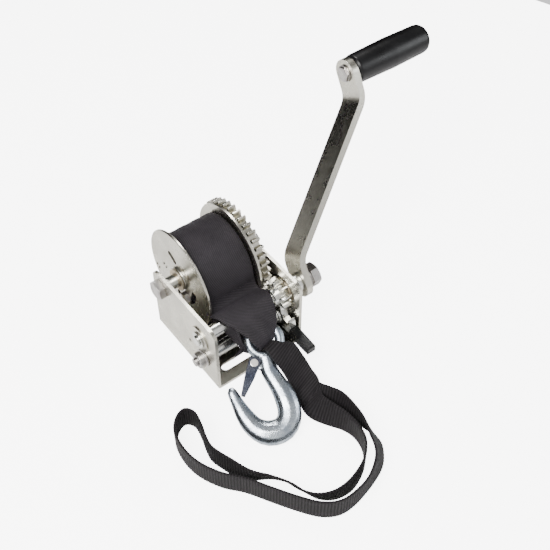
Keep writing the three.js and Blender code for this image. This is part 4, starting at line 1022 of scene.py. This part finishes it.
@dataclass
class Strap:
    """The wound strap on the drum and its free end that runs to the hook."""

    width: float = 0.05
    thickness: float = 0.0018
    selvedge: float = 0.0004
    wave: float = 0.0006
    ripple: float = 0.0004
    roll_left: float = -0.0233
    roll_right: float = 0.0267
    roll_radius: float = 0.0407
    core_radius: float = 0.0157
    turn_pitch: float = 0.0021  # about; the turns fill the roll
    turn_shift: float = 0.0005  # of one turn against the next, along the drum
    # sections from the roll to the eye, in millimetres: right edge, crown, crease, the lip under the crease
    sections: tuple = (
        ((26.7, -3.6, 61), (2, -3.6, 61), (-22.6, -3.6, 61), (-23.2, -3.4, 60.8)),
        ((26.7, -5.3, 55.6), (2, -5.3, 55.6), (-22.8, -5.3, 55.6), (-23.3, -5.1, 55.2)),
        ((26.8, -8.2, 52.4), (2, -8.2, 52.6), (-23.2, -8.2, 52.4), (-23.6, -8, 51.6)),
        ((27, -12.2, 52.2), (2, -12.2, 52.8), (-24.2, -11.6, 52.2), (-23.8, -11.6, 51)),
        ((27.8, -16.6, 54.6), (2, -17, 55.4), (-24.2, -15.6, 54.8), (-23.4, -15.8, 53)),
        ((28, -21, 56.4), (2, -21.5, 57.2), (-22.6, -21, 57), (-21.6, -21, 55)),
        ((27.2, -28.6, 57.4), (2.6, -28.6, 58.2), (-21, -27.4, 57.4), (-20, -27.4, 55.4)),
        ((24.6, -35.4, 57.2), (2.4, -36.4, 58.2), (-18.9, -35.6, 57.5), (-17.8, -35.8, 55.4)),
        ((21.6, -42, 56.8), (1.6, -44, 58), (-16.9, -43.8, 57.3), (-15.6, -44, 55)),
        ((17.4, -49, 55.8), (0.4, -51, 57.4), (-15.5, -50.8, 56.5), (-14, -51, 54.4)),
        ((12.6, -55, 53), (-0.8, -57, 55.2), (-14, -57, 54.6), (-12.4, -57, 52.6)),
        ((8.4, -58.8, 49.6), (-1.6, -61, 51.4), (-12.2, -61.6, 50.6), (-10.6, -61, 49)),
        ((5.2, -60.4, 46.6), (-1.8, -62.2, 47.4), (-9.4, -63, 46.6), (-8, -62.2, 45.4)),
        ((4.4, -57.4, 43), (-1.6, -58.4, 43), (-6.6, -59, 42.6), (-5.6, -58.4, 41.8)),
        ((3.6, -53.4, 40), (-1.2, -54, 39.6), (-5, -54.4, 39.4), (-4.2, -54, 38.8)),
    )
    # sections of the layer that comes back under the eye: under the crease, hollow, lower fold, tucked edge
    return_sections: tuple = (
        ((-24, -14.5, 53.5), (-23.5, -13.8, 51), (-25.5, -13.5, 48), (-20, -12, 46)),
        ((-22.9, -21, 55.6), (-22.2, -21, 52), (-24.8, -20.6, 46.5), (-17, -20, 44.5)),
        ((-21.3, -27, 55.9), (-19.5, -27.5, 51.5), (-23.6, -28.8, 45.2), (-14, -28, 43.5)),
        ((-18.6, -37.6, 55.8), (-16, -37, 50.5), (-22.7, -36.5, 44.6), (-12, -36, 42.5)),
        ((-19, -43.5, 51), (-18, -43.5, 47.6), (-21.8, -43.8, 43.6), (-12, -42, 41)),
        ((-19, -48.6, 44.6), (-18.6, -48.8, 42.4), (-20, -50, 41), (-12, -48, 38)),
        ((-15.5, -54.5, 38.5), (-14, -54.5, 37.6), (-15.5, -55.5, 36.8), (-8, -54, 35.5)),
        ((-9, -58.5, 36.5), (-8, -58.5, 36), (-8.5, -59, 35.4), (-3, -58, 35)),
    )

    def layer(self, name: str, sections: tuple, across: int, finishes: Finishes) -> bpy.types.Object:
        """Builds one layer of the free end through its sections, with soft waves.

        Args:
            name: the piece's name.
            sections: points across the layer, in millimetres, from one end to the other.
            across: steps across the layer.
            finishes: the materials.

        Returns:
            The layer.
        """
        along = 110
        lines = [catmull([Vector(section[k]) * MM for section in sections], along)
                 for k in range(len(sections[0]))]
        rows = [catmull([line[i] for line in lines], across) for i in range(along + 1)]

        def place(s: float, t: float) -> Vector:
            """A point of the layer's middle."""
            point = rows[round(s * along)][round(t * across)]
            gather = min(1.0, max(0.0, (s - 0.35) / 0.4))
            wave = self.wave * gather * math.sin(t * 15.0 + 2.0 * s) * math.sin(math.pi * t)
            return point + Vector((0.0, 0.0, wave + self.ripple * noise.noise(point * 60.0)))

        length = length_of(lines[1])
        bm = cloth_grid(place, along, across, (length, self.width))
        piece = new_piece(name, bm, finishes[Slot.STRAP_FABRIC], smooth=60, weighted=False)
        thicken(piece, self.thickness, self.selvedge)
        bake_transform(piece)
        return piece

    def lead(self, finishes: Finishes) -> bpy.types.Object:
        """Builds the free end: the top layer into the hook's eye and the layer that comes back under it.

        Args:
            finishes: the materials.

        Returns:
            The top layer.
        """
        top = self.layer("strap_free_end", self.sections, 56, finishes)
        self.layer("strap_return", self.return_sections, 40, finishes)
        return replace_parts(top, "strap_lead")

    def roll(self, finishes: Finishes) -> bpy.types.Object:
        """Builds the wound strap, its turns showing at both ends.

        Args:
            finishes: the materials.

        Returns:
            The roll.
        """
        left, right = self.roll_left, self.roll_right
        turns = int((self.roll_radius - self.core_radius) / self.turn_pitch)
        pitch = (self.roll_radius - self.core_radius) / turns
        profile = [(left + 0.0004, self.core_radius)]
        for k in range(turns):
            inner = self.core_radius + k * pitch
            step = self.turn_shift * math.sin(2.3 * k + 0.4)
            profile += [(left + 0.0010 + step, inner + 0.0002), (left + 0.0005 + step, inner + 0.0006),
                        (left + 0.0005 + step, inner + pitch - 0.0006)]
        rim = self.roll_radius
        profile += [(left + 0.0006, rim - 0.0003), (left + 0.002, rim)]
        profile += [(left + 0.002 + (right - left - 0.004) * i / 12, rim + 0.0002 * math.sin(i * 1.7))
                    for i in range(1, 12)]
        profile += [(right - 0.002, rim), (right - 0.0006, rim - 0.0003)]
        for k in reversed(range(turns)):
            inner = self.core_radius + k * pitch
            step = self.turn_shift * math.sin(1.9 * k + 1.4)
            profile += [(right - 0.0005 + step * 0.5, inner + pitch - 0.0006),
                        (right - 0.0005 + step * 0.5, inner + 0.0006), (right - 0.0010, inner + 0.0002)]
        profile += [(right - 0.0004, self.core_radius), (left + 0.0004, self.core_radius)]
        bm = spun(profile, DRUM_AXIS, 120)
        uv = bm.loops.layers.uv.new("UVMap")
        for face in bm.faces:
            arms = [(loop.vert.co.y - DRUM_AXIS[0], loop.vert.co.z - DRUM_AXIS[1]) for loop in face.loops]
            turned = [math.atan2(up, back) for back, up in arms]
            if max(turned) - min(turned) > math.pi:
                turned = [a + FULL_TURN if a < 0 else a for a in turned]
            for loop, angle, (back, up) in zip(face.loops, turned, arms):
                radius = math.hypot(up, back)
                loop[uv].uv = (angle * self.roll_radius, loop.vert.co.x + radius)
        piece = new_piece("strap_wound", bm, finishes[Slot.STRAP_FABRIC], smooth=50, weighted=False)
        return join_frame(piece, Body.DRUM, Slot.STRAP_FABRIC, ["strap_roll"])


# ---- Metal parts from the CAD ----


@dataclass(frozen=True)
class SoftenedPart:
    """A CAD part whose edges are rounded."""

    node: str
    body: Body
    slot: Slot
    edge: float = 0.00025
    above: float = 28.0

    def build(self, finishes: Finishes, material: bpy.types.Material | None = None) -> bpy.types.Object:
        """Builds the part from its CAD node.

        Args:
            finishes: the materials.
            material: used instead of the slot's own.

        Returns:
            The part.
        """
        bm = cad_copy(self.node)
        soften(bm, self.edge, self.above)
        piece = new_piece(f"{self.node}_finished", bm, material or finishes[self.slot])
        return join_frame(piece, self.body, self.slot, [self.node])


# Each body's parts: node, slot, and the width of its rounded edges where it isn't the usual one
PARTS_BY_BODY = {
    Body.FRAME: (
        ("frame_channel", Slot.ZINC_PLATE, 0.0004), ("drum_bolt", Slot.ZINC_FASTENER),
        ("drum_bolt_nut", Slot.ZINC_FASTENER), ("drum_axle_tube", Slot.BRIGHT_STEEL),
        ("shaft_bush_left", Slot.BUSH_BRONZE), ("shaft_bush_right", Slot.BUSH_BRONZE),
        ("tie_bolt", Slot.ZINC_FASTENER), ("tie_nut", Slot.ZINC_FASTENER),
        ("tie_spacer", Slot.BRIGHT_STEEL), ("tie_washer", Slot.BRIGHT_STEEL),
    ),
    Body.DRUM: (
        ("drum_hub", Slot.BRIGHT_STEEL), ("drum_bush_left", Slot.BUSH_BRONZE),
        ("drum_bush_right", Slot.BUSH_BRONZE), ("drum_flange_left", Slot.ZINC_PLATE, 0.0004),
        ("drum_flange_right", Slot.ZINC_PLATE, 0.0004), ("drum_gear", Slot.ZINC_PLATE, 0.0002),
        ("gear_rivet_1", Slot.ZINC_FASTENER), ("gear_rivet_2", Slot.ZINC_FASTENER),
        ("gear_rivet_3", Slot.ZINC_FASTENER), ("anchor_bolt", Slot.ZINC_FASTENER),
        ("anchor_nut", Slot.ZINC_FASTENER),
    ),
    Body.CRANK: (
        ("pinion", Slot.BRIGHT_STEEL, 0.0002), ("crank_shaft", Slot.BRIGHT_STEEL),
        ("shaft_retaining_ring", Slot.BRIGHT_STEEL, 0.0001), ("crank_spacer", Slot.BRIGHT_STEEL),
        ("crank_arm", Slot.ZINC_PLATE, 0.0006), ("crank_washer", Slot.ZINC_FASTENER),
        ("crank_nut", Slot.ZINC_FASTENER), ("grip_stud", Slot.ZINC_FASTENER),
    ),
    Body.GRIP: (("grip", Slot.BLACK_PLASTIC),),
    Body.PAWL: (("pawl_plate", Slot.BRIGHT_STEEL, 0.0004), ("pawl_lever", Slot.BLACK_PLASTIC, 0.0005)),
    Body.HOOK: (("latch_rivet", Slot.ZINC_FASTENER, 0.0006),),
    Body.LATCH: (("hook_latch", Slot.FORGED_ZINC),),
}
METAL_PARTS = [SoftenedPart(node, body, *rest)
               for body, rows in PARTS_BY_BODY.items() for node, *rest in rows]


@dataclass(frozen=True)
class Forging:
    """The forged hook, its eye and shank run together with no sharp edge."""

    node: str = "hook"
    grain: float = 0.0008
    smoothing: int = 8

    def build(self, finishes: Finishes) -> bpy.types.Object:
        """Builds the forging.

        Args:
            finishes: the materials.

        Returns:
            The forging.
        """
        piece = new_piece("hook_forging", cad_copy(self.node), finishes[Slot.FORGED_ZINC], weighted=False)
        remesh = piece.modifiers.new("even", "REMESH")
        remesh.mode = "VOXEL"
        remesh.voxel_size = self.grain
        remesh.use_smooth_shade = True
        smooth = piece.modifiers.new("run_together", "SMOOTH")
        smooth.factor = 0.5
        smooth.iterations = self.smoothing
        settle(piece)
        return join_frame(piece, Body.HOOK, Slot.FORGED_ZINC, [self.node])


def main() -> None:
    """Builds the winch."""
    logging.basicConfig(level=logging.INFO, format="%(name)s: %(message)s")
    Studio().build()
    effects = Effects.build()
    finishes = Finishes(effects)
    tail = Tail()
    tail.loop(finishes)
    tail.tab(finishes)
    strap = Strap()
    strap.lead(finishes)
    strap.roll(finishes)
    Forging().build(finishes)
    for part in METAL_PARTS:
        part.build(finishes, finishes.latch if part.node == "hook_latch" else None)
    for name in ("pawl_spring", "latch_spring"):
        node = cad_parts[name]
        node.data.materials.clear()
        node.data.materials.append(finishes[Slot.BRIGHT_STEEL])


if __name__ == "__main__":
    main()
